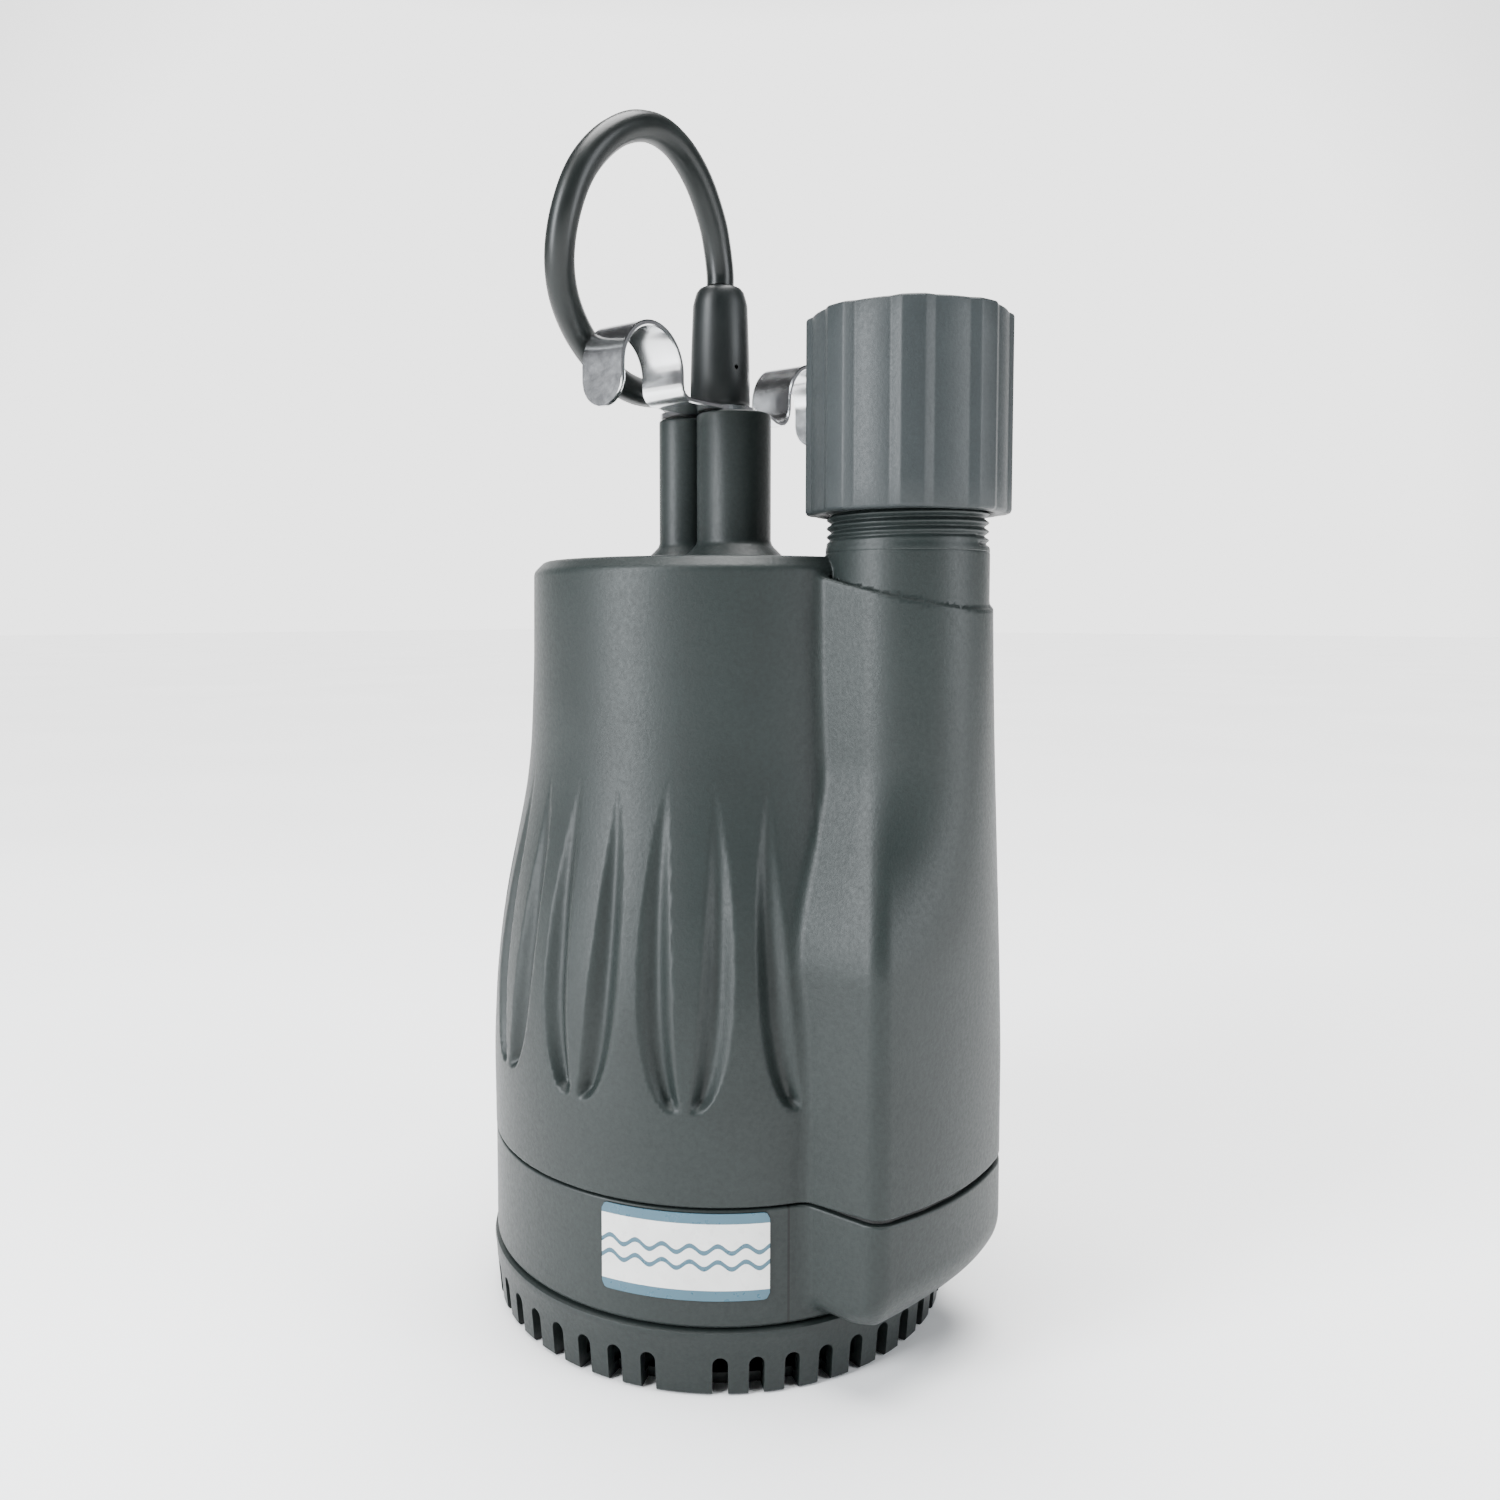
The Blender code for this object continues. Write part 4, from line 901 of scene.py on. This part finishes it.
def label_mesh():
    """A thin curved label with rounded corners."""
    middle, half, low, high, radius = -60.0, 18.7, 24.8, 46.8, 65.75
    corner, thickness = 1.6, 0.18
    half_arc = math.radians(half) * radius
    columns, rows = 60, 26
    points, faces = [], []
    for depth in (0.0, thickness):
        for i in range(columns + 1):
            u = -half_arc + 2 * half_arc * i / columns
            over = max(0.0, abs(u) - (half_arc - corner))
            cut = corner - math.sqrt(max(corner**2 - over**2, 0.0))
            for j in range(rows + 1):
                z = low + cut + (high - low - 2 * cut) * j / rows
                angle = middle + math.degrees(u / radius)
                x, y = around(radius + depth, angle)
                points.append((x * MM, y * MM, z * MM))
    size = (columns + 1) * (rows + 1)
    for s in (0, 1):
        for i in range(columns):
            for j in range(rows):
                a = s * size + i * (rows + 1) + j
                faces.append([a, a + rows + 1, a + rows + 2, a + 1])
    border = [i * (rows + 1) for i in range(columns + 1)]
    border += [columns * (rows + 1) + j for j in range(1, rows + 1)]
    border += [i * (rows + 1) + rows for i in range(columns - 1, -1, -1)]
    border += list(range(rows - 1, 0, -1))
    for a, b in zip(border, border[1:] + border[:1]):
        faces.append([a, b, b + size, a + size])
    return mesh_from("label_plate", points, faces)


def label_material():
    """Printed film: a pale field with a slate band above and below, and two plain wavy lines between them."""
    made, tree, shader, place = material("label_print")
    split = tree.nodes.new("ShaderNodeSeparateXYZ")
    tree.links.new(place, split.inputs["Vector"])

    def math_node(kind, a, b=None):
        m = tree.nodes.new("ShaderNodeMath")
        m.operation = kind
        for socket, value in zip(m.inputs, (a, b)):
            if value is None:
                continue
            if isinstance(value, (int, float)):
                socket.default_value = value
            else:
                tree.links.new(value, socket)
        return m.outputs[0]

    middle, field_half, line_half = 0.0358, 0.0084, 0.00062
    wave_levels, waves_to_a_radian, wave_height = (0.0338, 0.0378), 60.0, 0.0009
    angle = math_node("ARCTAN2", split.outputs["Y"], split.outputs["X"])
    height = split.outputs["Z"]
    from_middle = math_node("ABSOLUTE", math_node("SUBTRACT", height, middle))
    marks = math_node("GREATER_THAN", from_middle, field_half)
    swing = math_node("SINE", math_node("MULTIPLY", angle, waves_to_a_radian))
    sway = math_node("MULTIPLY", swing, wave_height)
    for level in wave_levels:
        gap = math_node("ABSOLUTE", math_node("SUBTRACT", math_node("SUBTRACT", height, level), sway))
        marks = math_node("MAXIMUM", marks, math_node("LESS_THAN", gap, line_half))
    mix = tree.nodes.new("ShaderNodeMix")
    mix.data_type = "RGBA"
    tree.links.new(marks, mix.inputs["Factor"])
    pale = ramp(tree, noise(tree, place, 150.0), [(0.3, (0.6, 0.6, 0.58)), (0.7, (0.66, 0.66, 0.64))])
    slate = ramp(tree, noise(tree, place, 150.0), [(0.3, (0.03, 0.085, 0.12)), (0.7, (0.032, 0.09, 0.126))])
    tree.links.new(pale, mix.inputs["A"])
    tree.links.new(slate, mix.inputs["B"])
    tree.links.new(mix.outputs["Result"], shader.inputs["Base Color"])
    tree.links.new(scale_to(tree, noise(tree, place, 400.0), 0.25, 0.36), shader.inputs["Roughness"])
    return made


add_object("label_plate", label_mesh(), label_material(), "pump", ("label",))


# ---------------------------------------------------------------- materials on the model's own parts

FINISHES = {
    cast_aluminium: ("lower_end_bell", "upper_end_bell", "rotor_ring_lower", "rotor_ring_upper"),
    steel: ("motor_can", "thermal_protector"),
    bright_steel: ("lower_bearing", "upper_bearing", "shaft", "impeller_nut", "bracket_screw",
                   *(f"motor_screw_{n}" for n in range(1, 5)), *(f"casing_screw_{n}" for n in range(1, 4))),
    laminated: ("stator_core", "rotor_core"),
    copper_wire: ("winding_lower", "winding_upper"),
    gasket_rubber: ("casing_gasket", "can_o_ring", "seal_rotary"),
    plate_plastic: ("seal_plate",),
    wheel_plastic: ("impeller", "run_capacitor"),
    cord_rubber: ("inner_lead", "plug_body"),
    tie_plastic: ("cord_tie",),
    brass: ("plug_blade_line", "plug_blade_neutral", "plug_ground_pin"),
    plastic("seal_ceramic", (0.8, 0.78, 0.72), (0.2, 0.3), 600.0, 0.00001, 0.04): ("seal_seat",),
}
for finish, names in FINISHES.items():
    for name in names:
        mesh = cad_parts[name].data
        mesh.materials.clear()
        mesh.materials.append(finish)


# ---------------------------------------------------------------- stage, light and camera

def area_light(name, place, target, size, power, colour):
    light = bpy.data.lights.new(name, "AREA")
    light.shape = "RECTANGLE"
    light.size, light.size_y = size
    light.energy = power
    light.color = colour
    obj = bpy.data.objects.new(name, light)
    obj.location = place
    obj.rotation_euler = (Vector(target) - Vector(place)).to_track_quat("-Z", "Y").to_euler()
    bpy.context.scene.collection.objects.link(obj)


def pale_floor():
    """A wide pale floor a little under the strainer's foot."""
    made, tree, shader, place = material("pale_floor")
    tree.links.new(ramp(tree, noise(tree, place, 3.0), [(0.3, (0.86, 0.86, 0.86)), (0.7, (0.9, 0.9, 0.9))]),
                   shader.inputs["Base Color"])
    shader.inputs["Roughness"].default_value = 0.9
    shader.inputs["Specular IOR Level"].default_value = 0.1
    mesh = bpy.data.meshes.new("floor")
    reach, gap = 12.0, 0.0002
    corners = [(-reach, -reach, 0), (reach, -reach, 0), (reach, reach, 0), (-reach, reach, 0)]
    mesh.from_pydata(corners, [], [(0, 1, 2, 3)])
    floor = bpy.data.objects.new("floor", mesh)
    floor.location.z = -gap
    mesh.materials.append(made)
    bpy.context.scene.collection.objects.link(floor)


def studio_sky():
    """A sky that is bright low down ahead of the camera and dark elsewhere."""
    world = bpy.data.worlds.new("studio")
    world.use_nodes = True
    tree = world.node_tree
    direction = tree.nodes.new("ShaderNodeTexCoord").outputs["Generated"]
    split = tree.nodes.new("ShaderNodeSeparateXYZ")
    tree.links.new(direction, split.inputs["Vector"])
    sky = ramp(tree, split.outputs["Z"], [(0.0, (1, 1, 1)), (0.42, (1, 1, 1)), (0.6, (0.05, 0.05, 0.055))])
    facing = tree.nodes.new("ShaderNodeVectorMath")
    facing.operation = "DOT_PRODUCT"
    facing.inputs[1].default_value = (*FORWARD, 0.0)
    tree.links.new(direction, facing.inputs[0])
    ahead = scale_to(tree, facing.outputs["Value"], 0.0, 1.0, -1.0, 1.0)
    behind, aside, bright = (0.05, 0.05, 0.053), (0.08, 0.08, 0.083), (1.0, 1.0, 1.0)
    around_it = ramp(tree, ahead, [(0.5, behind), (0.8, aside), (0.93, bright)])
    mix = tree.nodes.new("ShaderNodeMix")
    mix.data_type = "RGBA"
    mix.blend_type = "MULTIPLY"
    mix.inputs["Factor"].default_value = 1.0
    tree.links.new(sky, mix.inputs["A"])
    tree.links.new(around_it, mix.inputs["B"])
    background = tree.nodes["Background"]
    tree.links.new(mix.outputs["Result"], background.inputs["Color"])
    background.inputs["Strength"].default_value = 3.0
    bpy.context.scene.world = world


def sun_light(name, towards, strength, spread):
    sun = bpy.data.lights.new(name, "SUN")
    sun.energy = strength
    sun.angle = math.radians(spread)
    obj = bpy.data.objects.new(name, sun)
    obj.rotation_euler = Vector(towards).to_track_quat("-Z", "Y").to_euler()
    bpy.context.scene.collection.objects.link(obj)


PUMP_MIDDLE = (0.0, 0.0, 0.14)
COOL_WHITE = (0.92, 0.96, 1.0)

pale_floor()
studio_sky()
sun_light("front", (0.25, 0.82, -0.75), 1.2, 30)
sun_light("overhead", (0.05, -0.1, -1.0), 8.5, 50)
area_light("left", (-0.32, -0.98, 0.46), PUMP_MIDDLE, (0.3, 0.86), 26.0, COOL_WHITE)
area_light("right", (0.98, 0.2, 0.44), PUMP_MIDDLE, (0.4, 0.8), 11.0, COOL_WHITE)

camera_data = bpy.data.cameras.new("camera")
camera_data.lens = 29.5
camera_data.sensor_width = 36.0
camera_data.shift_x = 0.02
camera_data.shift_y = -0.0393
camera = bpy.data.objects.new("camera", camera_data)
camera.location = (0.2203, -0.2819, 0.1931)
pitch = math.radians(3.56)
look = Vector((FORWARD[0] * math.cos(pitch), FORWARD[1] * math.cos(pitch), -math.sin(pitch)))
camera.rotation_euler = look.to_track_quat("-Z", "Y").to_euler()
bpy.context.scene.collection.objects.link(camera)
bpy.context.scene.camera = camera
